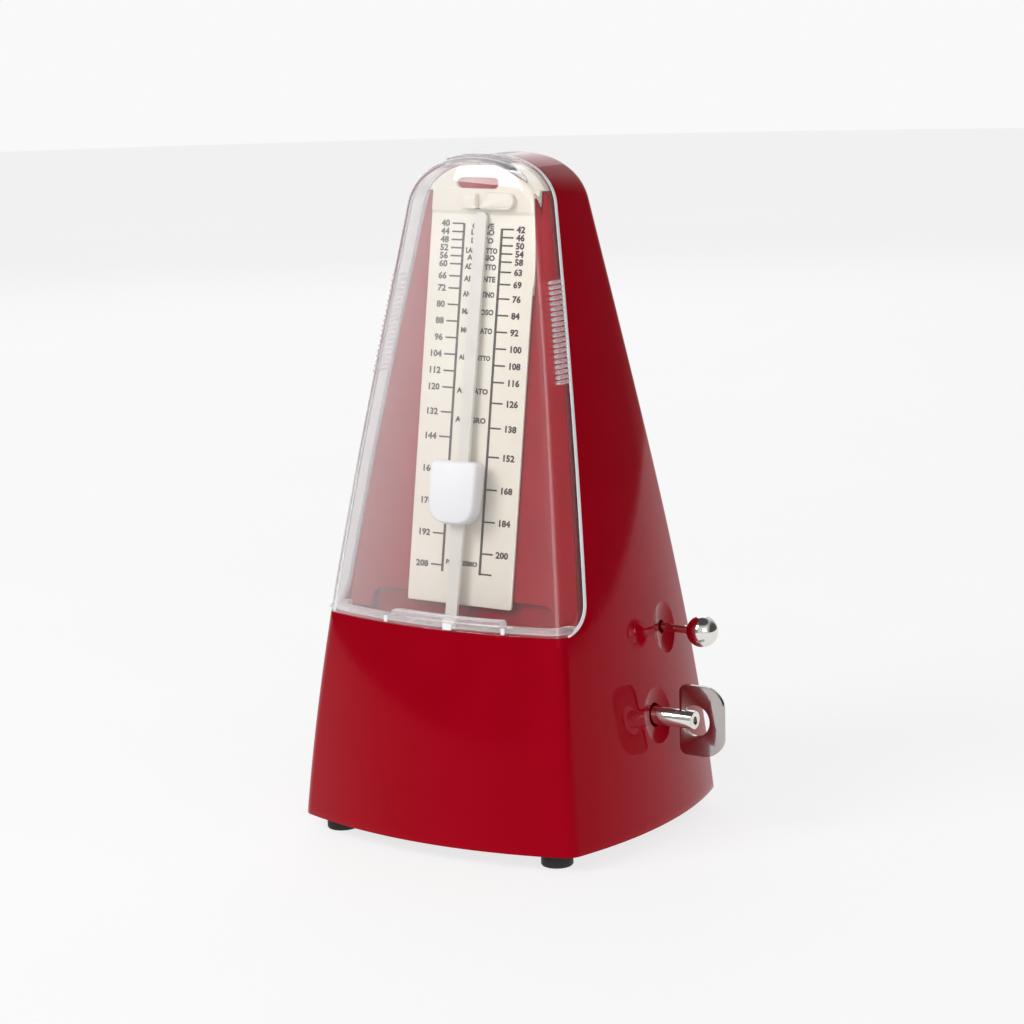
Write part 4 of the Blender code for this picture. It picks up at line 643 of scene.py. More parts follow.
def add_slab(bm: bmesh.types.BMesh, low: Sequence[Sequence[float]], high: Sequence[Sequence[float]]) -> None:
    """Add a closed slab between two outlines with the same number of points.

    Args:
        bm: Mesh to add to.
        low: First outline.
        high: Second outline.
    """
    rows = add_grid(bm, [low, high], closed=True)
    bm.faces.new(list(reversed(rows[0])))
    bm.faces.new(rows[1])


def turned(profile: Sequence[tuple[float, float]], centre: Point, axis: str = "X", segments: int = 64,
           tilt: float = 0.0) -> bmesh.types.BMesh:
    """Turn a profile of (along, radius) pairs about an axis.

    Args:
        profile: Pairs along the axis; a radius of zero closes an end.
        centre: Where the axis starts, in design millimetres.
        axis: X, Y or Z.
        segments: Steps round the axis.
        tilt: Turn about X after that, in radians.

    Returns:
        A closed mesh.
    """
    bm = bmesh.new()
    rows = []
    for along, radius in profile:
        row = []
        for i in range(segments):
            a = 2 * math.pi * i / segments
            u, v = max(radius, 1e-5) * math.cos(a), max(radius, 1e-5) * math.sin(a)
            row.append({"X": (along, u, v), "Y": (v, along, u), "Z": (u, v, along)}[axis])
        rows.append(row)
    made = add_grid(bm, rows, closed=True)
    bm.faces.new(list(reversed(made[0])))
    bm.faces.new(made[-1])
    bm.transform(Matrix.Translation(centre) @ Matrix.Rotation(tilt, 4, "X"))
    return bm


def ball_profile(radius: float, middle: float, start: float, end: float, steps: int) -> list[tuple[float, float]]:
    """Profile of a ball about a middle, between two polar angles in degrees."""
    angles = [math.radians(start + (end - start) * i / steps) for i in range(steps + 1)]
    return [(middle - radius * math.cos(a), radius * math.sin(a)) for a in angles]


def round_box(half_u: float, low_v: float, high_v: float, radii: Sequence[float], steps: int = 8) -> list[Vector]:
    """Outline of a rectangle with its own radius at each corner.

    Args:
        half_u: Half the width.
        low_v: Lower side.
        high_v: Upper side.
        radii: Radii at the lower right, upper right, upper left and lower left.
        steps: Steps round each corner.

    Returns:
        Points in a plane, anticlockwise.
    """
    corners = ((half_u, low_v, 1, 1, -90), (half_u, high_v, 1, -1, 0), (-half_u, high_v, -1, -1, 90),
               (-half_u, low_v, -1, 1, 180))
    points = []
    for (u, v, side, up, start), radius in zip(corners, radii):
        for k in range(steps + 1):
            a = math.radians(start + 90 * k / steps)
            points.append(Vector((u - side * radius + radius * math.cos(a), v + up * radius + radius * math.sin(a))))
    return points


def ride(obj: bpy.types.Object, body: str, *nodes: str) -> bpy.types.Object:
    """Let a piece ride on a body, stand for nodes, and report it.

    Args:
        obj: The piece.
        body: Body that carries it.
        nodes: Nodes that it stands for.

    Returns:
        The same piece.
    """
    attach(obj, body)
    if nodes:
        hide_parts(*nodes)
    LOG.info("%s rides on %s, %d faces", obj.name, body, len(obj.data.polygons))
    return obj


class Pivot(Enum):
    """Axis about which repeated bars turn to face out of their surface."""

    ACROSS = "X"
    DEPTH = "Y"


class BarTree:
    """Geometry Nodes that set one bar at each point of a mesh, facing along the point's own direction."""

    def __init__(self, name: str, pivot: Pivot, rounded: bool) -> None:
        """Build the tree.

        Args:
            name: Tree's name.
            pivot: Axis about which the bars turn.
            rounded: True for bars with rounded edges.
        """
        tree = bpy.data.node_groups.new(name, "GeometryNodeTree")
        tree.interface.new_socket("Places", in_out="INPUT", socket_type="NodeSocketGeometry")
        self.size = tree.interface.new_socket("Bar Size", in_out="INPUT", socket_type="NodeSocketVector")
        self.crease = tree.interface.new_socket("Edge Crease", in_out="INPUT", socket_type="NodeSocketFloat")
        self.finish = tree.interface.new_socket("Finish", in_out="INPUT", socket_type="NodeSocketMaterial")
        tree.interface.new_socket("Bars", in_out="OUTPUT", socket_type="NodeSocketGeometry")
        entry = new_node(tree, "NodeGroupInput")
        bar = new_node(tree, "GeometryNodeMeshCube")
        tree.links.new(entry.outputs["Bar Size"], bar.inputs["Size"])
        shape = bar.outputs["Mesh"]
        if rounded:
            divide = new_node(tree, "GeometryNodeSubdivisionSurface")
            divide.inputs["Level"].default_value = 2
            tree.links.new(shape, divide.inputs["Mesh"])
            tree.links.new(entry.outputs["Edge Crease"], divide.inputs["Edge Crease"])
            shape = divide.outputs["Mesh"]
        facing = new_node(tree, "GeometryNodeInputNamedAttribute", data_type="FLOAT_VECTOR")
        facing.inputs["Name"].default_value = "facing"
        turn = new_node(tree, "FunctionNodeAlignRotationToVector", axis="Z", pivot_axis=pivot.value)
        tree.links.new(facing.outputs["Attribute"], turn.inputs["Vector"])
        spread = new_node(tree, "GeometryNodeInstanceOnPoints")
        tree.links.new(entry.outputs["Places"], spread.inputs["Points"])
        tree.links.new(shape, spread.inputs["Instance"])
        tree.links.new(turn.outputs["Rotation"], spread.inputs["Rotation"])
        real = new_node(tree, "GeometryNodeRealizeInstances")
        tree.links.new(spread.outputs["Instances"], real.inputs["Geometry"])
        paint = new_node(tree, "GeometryNodeSetMaterial")
        tree.links.new(real.outputs["Geometry"], paint.inputs["Geometry"])
        tree.links.new(entry.outputs["Finish"], paint.inputs["Material"])
        leave = new_node(tree, "NodeGroupOutput")
        tree.links.new(paint.outputs["Geometry"], leave.inputs["Bars"])
        self.tree = tree

    def grow(self, name: str, places: Sequence[tuple[Point, Point]], size: Point, finish: Finish | ClearFinish,
             crease: float = 0.5) -> bpy.types.Object:
        """Set bars at places and return them as one plain piece.

        Args:
            name: Piece's name.
            places: Pairs of a place and a direction that the bar faces, in design millimetres.
            size: Bar's size in millimetres.
            finish: Its finish.
            crease: How sharp rounded bars keep their edges.

        Returns:
            The new object.
        """
        mesh = bpy.data.meshes.new(name)
        mesh.from_pydata([tuple(p) for p in FORM.to_frame([p for p, _ in places])], [], [])
        directions = mesh.attributes.new("facing", "FLOAT_VECTOR", "POINT")
        for i, (_, direction) in enumerate(places):
            directions.data[i].vector = direction
        obj = bpy.data.objects.new(name, mesh)
        bpy.context.scene.collection.objects.link(obj)
        grow = obj.modifiers.new("Bars", "NODES")
        grow.node_group = self.tree
        grow[self.size.identifier] = [s * MM for s in size]
        grow[self.crease.identifier] = crease
        grow[self.finish.identifier] = finish.material()
        return settle(obj, 45.0)


# ---------------------------------------------------------------- case


@dataclass
class Case:
    """Red moulded case: tapering shell, ledge, key and knob dishes, front panel and feet."""

    key_place: tuple[float, float] = (3.8, 41.0)
    key_dish: float = 9.6
    knob_place: tuple[float, float] = (17.5, 67.5)
    knob_dish: float = 8.8
    dish_depth: float = 1.5
    arbor_hole: float = 4.0
    rod_hole: float = 2.3
    slot_half: float = 35.0
    slot_top_z: float = 81.5
    slot_front: float = 4.4
    slot_corner: float = 1.5
    slot_radius: float = 3.0
    slot_back_lap: Point = (3.0, 2.0, 2.0)
    slot_back_gap: float = 0.2
    slot_back_wall: float = 0.8
    ledge_wall: float = 2.3
    ledge_drop: float = 0.03
    ledge_lap: float = 0.4
    panel_stand: float = 0.4
    panel_inset: float = 2.7
    panel_wall: float = 2.0
    panel_flange: float = 5.9
    foot_radius: float = 5.25
    foot_place: tuple[float, float] = (42.7, 39.9)
    foot_height: float = 6.1

    def shell(self) -> bpy.types.Object:
        """Build the case's outer wall with its two dishes.

        Returns:
            The finished piece.
        """
        rows = []
        count = 26
        foot_split = FORM.split_y(FORM.apron_top_z, FORM.shoulder_behind, FORM.apron_top_z)
        for i in range(count + 1):
            z = FORM.bottom_z + (FORM.apron_top_z - FORM.bottom_z) * i / count
            split = foot_split * FORM.half_depth(z) / FORM.half_depth(FORM.apron_top_z)
            rear = FORM.outline(z, 1.0, 0.0, split, True)
            front = FORM.outline(z, 1.0, 0.0, split, False)
            rows.append(rear + list(reversed(front))[1:-1])
        bm = bmesh.new()
        add_grid(bm, rows, closed=True)
        upper = []
        for z, narrow in FORM.levels(FORM.apron_top_z):
            split = FORM.split_y(z, FORM.shoulder_behind, FORM.apron_top_z)
            upper.append(FORM.outline(z, narrow, 0.0, split, True))
        made = add_grid(bm, upper)
        bm.faces.new(made[-1])
        shell = make_piece("Case_Shell", bm, CASE_RED, (0.0, 20.0, 100.0))
        thicken(shell, FORM.wall)
        settle(shell)
        for (y, z), radius, bore in ((self.key_place, self.key_dish, self.arbor_hole),
                                     (self.knob_place, self.knob_dish, self.rod_hole)):
            carve(shell, self.dish_tool(y, z, radius))
            face = FORM.side_x(y, z)
            hole = turned([(-8.0, bore), (2.0, bore)], (face, y, z), segments=48)
            carve(shell, make_piece("Hole_Tool", hole, CASE_RED))
        soften(shell, 0.4, 2, 50.0)
        return ride(settle(shell), "casing", "casing_shell")

    def dish_tool(self, y: float, z: float, radius: float) -> bpy.types.Object:
        """Build the lens that a dish is cut with.

        Args:
            y: Place of the dish along the depth.
            z: Height of the dish.
            radius: Radius of its rim.

        Returns:
            The tool, a closed object.
        """
        ball = (radius ** 2 + self.dish_depth ** 2) / (2 * self.dish_depth)
        widest = math.degrees(math.asin(min(1.0, (radius + 2.0) / ball)))
        face = FORM.side_x(y, z)
        profile = ball_profile(ball, ball - self.dish_depth, 0.0, widest, 14)
        profile += [(profile[-1][0] + 3.0, profile[-1][1])]
        lean = math.atan((FORM.side_x(y, z - 1.0) - FORM.side_x(y, z + 1.0)) / 2)
        swing = math.atan((FORM.side_x(y - 1.0, z) - FORM.side_x(y + 1.0, z)) / 2)
        bm = turned(profile, (0.0, 0.0, 0.0), segments=96)
        bm.transform(Matrix.Translation((face, y, z)) @ Matrix.Rotation(swing, 4, "Z") @ Matrix.Rotation(
            -lean, 4, "Y"))
        return make_piece("Dish_Tool", bm, CASE_RED)

    def ledge(self) -> bpy.types.Object:
        """Build the ledge that the cover stands on, with the rod's slot.

        Returns:
            The finished piece.
        """
        z = FORM.apron_top_z - self.ledge_drop
        split = FORM.panel_y(z) - self.ledge_lap
        edge = FORM.outline(z, 1.0, FORM.wall - self.ledge_lap, split, False)
        half_chord = FORM.half_width(z) - self.slot_front
        steps = 24
        reach = self.slot_half - self.slot_corner
        front = []
        for i in range(steps + 1):
            x = reach * (2 * i / steps - 1)
            front.append((x, self.slot_front - FORM.half_depth(z) - FORM.rise(half_chord, x, self.slot_front)))
        side_y = front[0][1] + self.slot_corner
        notch = [(-self.slot_half, split), (-self.slot_half, side_y), *front, (self.slot_half, side_y),
                 (self.slot_half, split)]
        outline = [(p[0], p[1]) for p in edge] + notch
        bm = bmesh.new()
        add_slab(bm, [(x, y, z - self.ledge_wall) for x, y in outline], [(x, y, z) for x, y in outline])
        ledge = make_piece("Case_Ledge", bm, CASE_RED)
        soften(ledge, 0.3, 2, 50.0)
        return ride(settle(ledge), "casing")

    def panel_outline(self, inset: float, low: float) -> list[tuple[float, float]]:
        """Right edge of the panel as pairs of half width and height, from low to the top.

        Args:
            inset: How far the edge stands inside the case.
            low: Height where the edge starts.

        Returns:
            Pairs of half width and height.
        """
        levels = [(low + (FORM.roof_spring_z - low) * i / 30, 1.0) for i in range(31)]
        height = FORM.top_z - inset - FORM.roof_spring_z
        for i in range(1, 25):
            angle = math.radians(89.0) * i / 24
            z = FORM.roof_spring_z + height * math.sin(angle) ** (2 / FORM.roof_power)
            levels.append((z, math.cos(angle) ** (2 / FORM.roof_power)))
        return [(FORM.side_x(FORM.panel_y(z), z, inset, narrow), z) for z, narrow in levels]

    def panel(self) -> bpy.types.Object:
        """Build the front panel with its flange and the slot at its foot.

        Returns:
            The finished piece.
        """
        foot = FORM.apron_top_z + self.panel_stand
        right = self.panel_outline(self.panel_inset, foot)
        radius, steps = self.slot_radius, 6
        slot = []
        for k in range(steps + 1):
            a = math.pi / 2 * k / steps
            slot.append((self.slot_half - radius + radius * math.cos(a),
                         self.slot_top_z - radius + radius * math.sin(a)))
        outline = [(self.slot_half, foot)] + right + [(-x, z) for x, z in reversed(right)]
        outline += [(-self.slot_half, foot)] + [(-x, z) for x, z in slot] + list(reversed(slot))
        bm = bmesh.new()
        front = [bm.verts.new((x, FORM.panel_y(z), z)) for x, z in outline]
        bm.faces.new(front)
        back = [bm.verts.new((x, FORM.panel_y(z) + self.panel_flange, z)) for x, z in outline]
        for i in range(1, 2 * len(right)):
            bm.faces.new((front[i], front[i + 1], back[i + 1], back[i]))
        bmesh.ops.delete(bm, geom=[v for v in bm.verts if not v.link_faces], context="VERTS")
        panel = make_piece("Front_Panel", bm, PANEL_RED, (0.0, 10.0, 130.0))
        thicken(panel, self.panel_wall)
        soften(panel, 0.5, 3, 50.0)
        return ride(settle(panel), "casing", "front_panel")

    def slot_back(self) -> bpy.types.Object:
        """Build the wall that closes the panel's slot from behind.

        Returns:
            The finished piece.
        """
        side, below, above = self.slot_back_lap
        half, low, high = self.slot_half + side, FORM.apron_top_z - below, self.slot_top_z + above
        shape = [(-half, low), (half, low), (half, high), (-half, high)]
        near = self.panel_wall + self.slot_back_gap
        bm = bmesh.new()
        add_slab(bm, [(x, FORM.panel_y(z) + near, z) for x, z in shape],
                 [(x, FORM.panel_y(z) + near + self.slot_back_wall, z) for x, z in shape])
        return ride(make_piece("Slot_Back", bm, PANEL_RED), "casing")

    def feet(self) -> None:
        """Build the four rubber feet."""
        r, top = self.foot_radius, self.foot_height
        profile = [(0.0, 0.0), (0.0, r - 0.9), (0.15, r - 0.35), (0.6, r), (top - 0.9, r), (top - 0.5, r - 0.3),
                   (top - 0.1, r - 0.6), (top - 0.1, 2.0), (top, 0.0)]
        for end, way_y in (("front", -1), ("rear", 1)):
            for side, way_x in (("left", -1), ("right", 1)):
                centre = (way_x * self.foot_place[0], way_y * self.foot_place[1], 0.0)
                foot = make_piece(f"Foot_{end}_{side}", turned(profile, centre, "Z", 48), RUBBER)
                ride(foot, "casing", f"foot_{end}_{side}")

    def build(self) -> None:
        """Build every piece of the case."""
        self.shell()
        self.ledge()
        self.panel()
        self.slot_back()
        self.feet()


# ---------------------------------------------------------------- scale


@dataclass
class Scale:
    """Cream scale plate with its printing, the head cap and the rod catch."""

    half_width: float = 20.3
    bottom_z: float = 79.3
    step_z: float = 205.7
    cap_bottom_z: float = 213.0
    stand: float = 1.1
    thickness: float = 0.8
    line_x: float = 7.35
    first_z: float = 202.2
    last_z: float = 89.8
    slowest: int = 40
    tick_length: float = 4.6
    tick_width: float = 0.74
    line_half: float = 0.46
    ink_proud: float = 0.02
    cap_overlap: float = 0.2
    cap_proud: float = 0.2
    cap_depth: float = 4.2
    window_x: float = -3.2
    window_half: float = 8.1
    window_low: float = 213.6
    window_high: float = 217.2
    window_radius: float = 1.7
    window_depth: float = 0.6
    clip_x: float = 1.6
    clip_half: float = 3.0
    clip_low: float = 214.2
    clip_high: float = 216.4
    clip_radius: float = 0.9
    catch_low: float = 207.2
    catch_high: float = 212.6
    catch_left: float = -7.0
    catch_bar: float = 8.0
    catch_end: float = 9.8
    catch_radius: float = 2.7
    catch_depth: float = 2.6
    step_proud: float = 0.55
    step_inset: float = 0.2
    number_height: float = 2.0
    letter_stretch: float = 1.12
    word_room: float = 12.2
    spacing: Point = (26.8, 9.76, 8.94)

    def on_plate(self, x: float, z: float, proud: float = 0.0) -> Point:
        """Place on the plate's front face."""
        return (x, FORM.panel_y(z) - self.stand - proud, z)

    def mark_z(self, tempo: float) -> float:
        """Height of a tempo's mark: lower, and faster to fall, as the tempo rises."""
        up = math.log(tempo / self.slowest)
        return self.first_z - sum(k * up ** (i + 1) for i, k in enumerate(self.spacing))

    def plate(self) -> bpy.types.Object:
        """Build the plate below the cap.

        Returns:
            The finished piece.
        """
        outline = round_box(self.half_width, self.bottom_z, self.cap_bottom_z + 0.1, (0.8, 0.1, 0.1, 0.8), 4)
        bm = bmesh.new()
        front = [self.on_plate(p.x, p.y) for p in outline]
        rear = [(x, y + self.thickness, z) for x, y, z in front]
        add_slab(bm, front, rear)
        plate = make_piece("Scale_Plate", bm, CREAM)
        soften(plate, 0.15)
        return ride(settle(plate), "casing", "scale_plate")

    def cap(self) -> bpy.types.Object:
        """Build the arched cap at the head of the panel, with its long window.

        Returns:
            The finished piece.
        """
        case = Case()
        inset = case.panel_inset - self.cap_overlap
        edge = [(x, z) for x, z in case.panel_outline(inset, 150.0) if z > self.cap_bottom_z]
        foot = FORM.side_x(FORM.panel_y(self.cap_bottom_z), self.cap_bottom_z, inset,
                           FORM.narrow_at(self.cap_bottom_z, inset))
        right = [(foot, self.cap_bottom_z)] + edge
        outline = right + [(-x, z) for x, z in reversed(right)]
        bm = bmesh.new()
        add_slab(bm, [self.on_plate(x, z, self.cap_proud) for x, z in outline],
                 [(x, FORM.panel_y(z) + self.cap_depth, z) for x, z in outline])
        cap = make_piece("Scale_Cap", bm, CREAM)
        window = bmesh.new()
        shape = [p + Vector((self.window_x, 0.0)) for p in round_box(
            self.window_half, self.window_low, self.window_high, (self.window_radius,) * 4)]
        add_slab(window, [(p.x, FORM.panel_y(p.y) - 8, p.y) for p in shape],
                 [(p.x, FORM.panel_y(p.y) + self.window_depth, p.y) for p in shape])
        carve(cap, make_piece("Window_Tool", window, CREAM))
        soften(cap, 0.18)
        return ride(settle(cap), "casing")

    def step(self) -> bpy.types.Object:
        """Build the raised step between the plate and the cap.

        Returns:
            The finished piece.
        """
        profile = [(self.step_z - 0.5, 0.0), (self.step_z + 0.1, 0.05), (self.step_z + 0.5, self.step_proud - 0.1),
                   (self.step_z + 1.0, self.step_proud), (self.cap_bottom_z + 0.4, self.step_proud)]
        profile += [(z, -0.3) for z, _ in reversed(profile)]
        half = self.half_width - self.step_inset
        bm = bmesh.new()
        add_slab(bm, [self.on_plate(-half, z, proud) for z, proud in profile],
                 [self.on_plate(half, z, proud) for z, proud in profile])
        return ride(make_piece("Scale_Step", bm, CREAM, angle=50.0), "casing")

    def tempos(self) -> tuple[list[int], list[int]]:
        """Tempos of the left and right columns, from the usual steps of a metronome's scale.

        Returns:
            The left and the right column.
        """
        steps = ((40, 60, 2), (63, 72, 3), (76, 120, 4), (126, 144, 6), (152, 208, 8))
        row = [n for low, high, by in steps for n in range(low, high + 1, by)]
        return row[0::2], row[1::2]

    def ticks(self) -> None:
        """Build the column lines and the tick marks."""
        facing = (0.0, -1.0, -FORM.panel_slope())
        proud = self.ink_proud
        left, right = self.tempos()
        half = self.line_x + self.tick_length / 2
        places = [(self.on_plate(-half, self.mark_z(n), proud), facing) for n in left]
        places += [(self.on_plate(half, self.mark_z(n) - 0.1, proud), facing) for n in right]
        places.append((self.on_plate(half, self.last_z, proud), facing))
        bars = BarTree("Scale_Bars", Pivot.ACROSS, False)
        ride(bars.grow("Scale_Ticks", places, (self.tick_length, self.tick_width, 0.08), INK), "casing")
        bm = bmesh.new()
        for side, top in ((-1, self.first_z), (1, self.mark_z(42))):
            near, far = side * self.line_x - self.line_half, side * self.line_x + self.line_half
            low, high = self.last_z - 0.3, top + 0.2
            shape = [(near, low), (far, low), (far, high), (near, high)]
            add_slab(bm, [self.on_plate(u, v, proud + 0.04) for u, v in shape],
                     [self.on_plate(u, v, proud - 0.04) for u, v in shape])
        ride(make_piece("Scale_Lines", bm, INK), "casing")

    def word(self, bm: bmesh.types.BMesh, text: str, x: float, z: float, height: float, align: str,
             weight: float) -> None:
        """Add a printed word to a mesh.

        Args:
            bm: Mesh to add to.
            text: What it says.
            x: Place across the plate.
            z: Height of its middle.
            height: Height of its capitals in millimetres.
            align: LEFT, CENTER or RIGHT.
            weight: How much the strokes are thickened, as a share of the height.
        """
        curve = bpy.data.curves.new("Word", "FONT")
        curve.body = text
        curve.size = height / 0.7
        curve.align_x = align
        curve.align_y = "CENTER"
        curve.resolution_u = 2
        curve.offset = weight * height
        curve.extrude = 0.03
        obj = bpy.data.objects.new("Word", curve)
        bpy.context.scene.collection.objects.link(obj)
        bpy.context.view_layer.update()
        mesh = bpy.data.meshes.new_from_object(obj.evaluated_get(bpy.context.evaluated_depsgraph_get()))
        across = [vert.co.x for vert in mesh.vertices]
        stretch = min(self.letter_stretch, self.word_room / (max(across) - min(across)))
        for vert in mesh.vertices:
            u, v, w = vert.co
            vert.co = self.on_plate(x + u * stretch, z + v, self.ink_proud + w)
        bm.from_mesh(mesh)
        bpy.data.objects.remove(obj)
        bpy.data.curves.remove(curve)
        bpy.data.meshes.remove(mesh)

    def printing(self) -> None:
        """Print the numbers and the tempo words."""
        numbers = bmesh.new()
        left, right = self.tempos()
        reach = self.line_x + self.tick_length + 1.1
        for n in left:
            self.word(numbers, str(n), -reach, self.mark_z(n), self.number_height, "RIGHT", 0.06)
        for n in right:
            self.word(numbers, str(n), reach, self.mark_z(n) - 0.1, self.number_height, "LEFT", 0.06)
        ride(make_piece("Scale_Numbers", numbers, INK), "casing")
        words = bmesh.new()
        names = (("GRAVE", 41), ("LARGO", 44), ("LENTO", 48), ("LARGHETTO", 53), ("ADAGIO", 56.5), ("ADAGIETTO", 61),
                 ("ANDANTE", 67), ("ANDANTINO", 74.5), ("MAESTOSO", 83), ("MODERATO", 92), ("ALLEGRETTO", 105),
                 ("ANIMATO", 121), ("ALLEGRO", 135), ("PRESTO", 175), ("PRESTISSIMO", 206))
        for name, tempo in names:
            height = 1.7 if len(name) < 10 else 1.5
            self.word(words, name, 0.0, self.mark_z(tempo), height, "CENTER", 0.07)
        ride(make_piece("Scale_Words", words, INK), "casing")

    def catch(self) -> bpy.types.Object:
        """Build the rod catch: a bar with a rounded end and a notch for the rod's tip.

        Returns:
            The finished piece.
        """
        low, high, left = self.catch_low, self.catch_high, self.catch_left
        right, steps = [], 12
        for k in range(steps + 1):
            a = math.pi * k / steps
            right.append((self.catch_end + self.catch_radius * math.sin(a),
                          (low + high) / 2 - self.catch_radius * math.cos(a)))
        notch = [(2.9, high), (0.3, low + 1.4), (-0.4, low + 0.5), (-1.6, low + 0.5), (-2.2, low + 1.4),
                 (-2.2, high - 0.6)]
        outline = [(left, low), (self.catch_bar, low)] + right + notch + [(left + 0.6, high - 0.6), (left, high - 1.2)]
        bm = bmesh.new()
        add_slab(bm, [self.on_plate(x, z, self.catch_depth) for x, z in outline],
                 [self.on_plate(x, z, 0.3) for x, z in outline])
        catch = make_piece("Rod_Catch", bm, CREAM)
        soften(catch, 0.35, 3)
        return ride(settle(catch), "casing", "rod_catch")

    def window_lining(self) -> bpy.types.Object:
        """Build the dark clip seen in the cap's window.

        Returns:
            The finished piece.
        """
        shape = [p + Vector((self.clip_x, 0.0)) for p in round_box(
            self.clip_half, self.clip_low, self.clip_high, (self.clip_radius,) * 4)]
        bm = bmesh.new()
        add_slab(bm, [self.on_plate(p.x, p.y, -0.25) for p in shape], [self.on_plate(p.x, p.y, -0.55) for p in shape])
        return ride(make_piece("Window_Clip", bm, PANEL_RED), "casing")

    def build(self) -> None:
        """Build every piece of the scale."""
        self.plate()
        self.cap()
        self.step()
        self.ticks()
        self.printing()
        self.catch()
        self.window_lining()


# ---------------------------------------------------------------- clear cover


@dataclass
class Cover:
    """Clear moulded cover with a white bead along its rear edge as a painted highlight, ribbed grips, lip and lugs."""

    wall: float = 1.8
    low: float = 74.9
    behind: float = 1.2
    bead: float = 1.5
    grip_length: float = 33.0
    grip_width: float = 7.3
    grip_stand: float = 1.0
    grip_z: float = 169.5
    side_ridges: int = 20
    top_ridges: int = 16
    lip_depth: float = 2.6
    lip_height: float = 1.7
    lip_stop: float = 4.0
    tab_from: float = -17.2
    tab_to: float = 25.2
    tab_height: float = 1.85
    tab_extra: float = 1.4
    lugs: tuple[tuple[str, float, float], ...] = (("left", -18.3, 1.4), ("middle", 6.5, 3.4), ("right", 26.5, 1.4))
    grip_inset: float = 1.6
    top_reach: float = 12.6
    top_width: float = 7.0
    top_ridge: float = 1.05
    top_lean: float = 0.022

    def rows(self, inset: float = 0.0) -> list[list[Point]]:
        """Rows of the cover's outer surface moved in by an inset.

        Args:
            inset: How far the surface is moved in.

        Returns:
            Rows of points, from the foot to the top.
        """
        rows = []
        for z, narrow in FORM.levels(self.low, inset):
            split = FORM.split_y(z, self.behind, self.low)
            rows.append(FORM.outline(z, narrow, inset, split, False))
        return rows

    def shell(self) -> bpy.types.Object:
        """Build the clear shell.

        Returns:
            The finished piece.
        """
        bm = bmesh.new()
        made = add_grid(bm, self.rows())
        bm.faces.new(made[-1])
        shell = make_piece("Cover_Shell", bm, CLEAR, (0.0, 0.0, 130.0))
        thicken(shell, self.wall)
        soften(shell, 0.25, 2, 50.0)
        return ride(settle(shell), "cover", "clear_cover")

    def rim(self) -> bpy.types.Object:
        """Build the white bead along the cover's rear edge, a painted highlight where the clear wall's edge catches
        the light.

        Returns:
            The finished piece.
        """
        path = []
        for z, narrow in FORM.levels(self.low):
            split = FORM.split_y(z, self.behind, self.low)
            path.append(Vector((FORM.side_x(split, z, 0.0, narrow), split, z)))
        path += [Vector((-p.x, p.y, p.z)) for p in reversed(path)]
        bm = bmesh.new()
        rows = []
        for i, place in enumerate(path):
            along = (path[min(i + 1, len(path) - 1)] - path[max(i - 1, 0)]).normalized()
            back = Vector((0.0, 1.0, 0.0))
            across = (back - along * back.dot(along)).normalized()
            out = along.cross(across).normalized()
            if out.dot(place - Vector((0.0, place.y, 130.0))) < 0:
                out = -out
            rows.append([place + out * u - across * v for u, v in ((0.02, 0.05), (0.2, 0.25), (0.2, self.bead - 0.3),
                         (0.02, self.bead), (-0.5, self.bead - 0.2), (-0.5, 0.2))])
        made = add_grid(bm, rows, closed=True)
        bm.faces.new(list(reversed(made[0])))
        bm.faces.new(made[-1])
        return ride(make_piece("Cover_Rim", bm, FROSTED_LUG_AND_RIM_HIGHLIGHT, angle=60.0), "cover")

    def side_normal(self, z: float) -> Point:
        """Direction that the right side faces at height z.

        Args:
            z: Height.

        Returns:
            A direction of length one.
        """
        slope = (FORM.half_width(z + 1) - FORM.half_width(z - 1)) / 2
        length = math.hypot(1.0, slope)
        return (1.0 / length, 0.0, -slope / length)

    def grips(self) -> None:
        """Build the ribbed grips on the sides and the top."""
        bars = BarTree("Grip_Ridges", Pivot.DEPTH, True)
        places = []
        for i in range(self.side_ridges):
            z = self.grip_z - self.grip_length / 2 + self.grip_length * (i + 0.5) / self.side_ridges
            y = FORM.panel_y(z) + self.behind - self.grip_inset - self.grip_width / 2
            normal = self.side_normal(z)
            x = FORM.side_x(y, z)
            for side in (-1, 1):
                places.append(((side * (x + 0.35 * normal[0]), y, z + 0.35 * normal[2]),
                               (side * normal[0], 0.0, normal[2])))
        pitch = self.grip_length / self.side_ridges
        size = (pitch * 0.78, self.grip_width, self.grip_stand * 1.5)
        ride(bars.grow("Side_Grips", places, size, CLEAR_LIP, 0.35), "cover")
        places = []
        for i in range(self.top_ridges):
            x = self.top_reach * (2 * (i + 0.5) / self.top_ridges - 1)
            low, high = FORM.roof_spring_z, FORM.top_z
            for _ in range(40):
                z = (low + high) / 2
                y = FORM.panel_y(z) + self.behind - 6.0
                if FORM.side_x(y, z, 0.0, FORM.narrow_at(z)) > abs(x):
                    low = z
                else:
                    high = z
            z = min(z, FORM.top_z - 0.15)
            places.append(((x, FORM.panel_y(z) + self.behind - 5.6, z + 0.2), (x * self.top_lean, 0.0, 1.0)))
        size = (self.top_ridge, self.top_width, self.grip_stand * 1.3)
        ride(bars.grow("Top_Grip", places, size, CLEAR_LIP, 0.35), "cover")

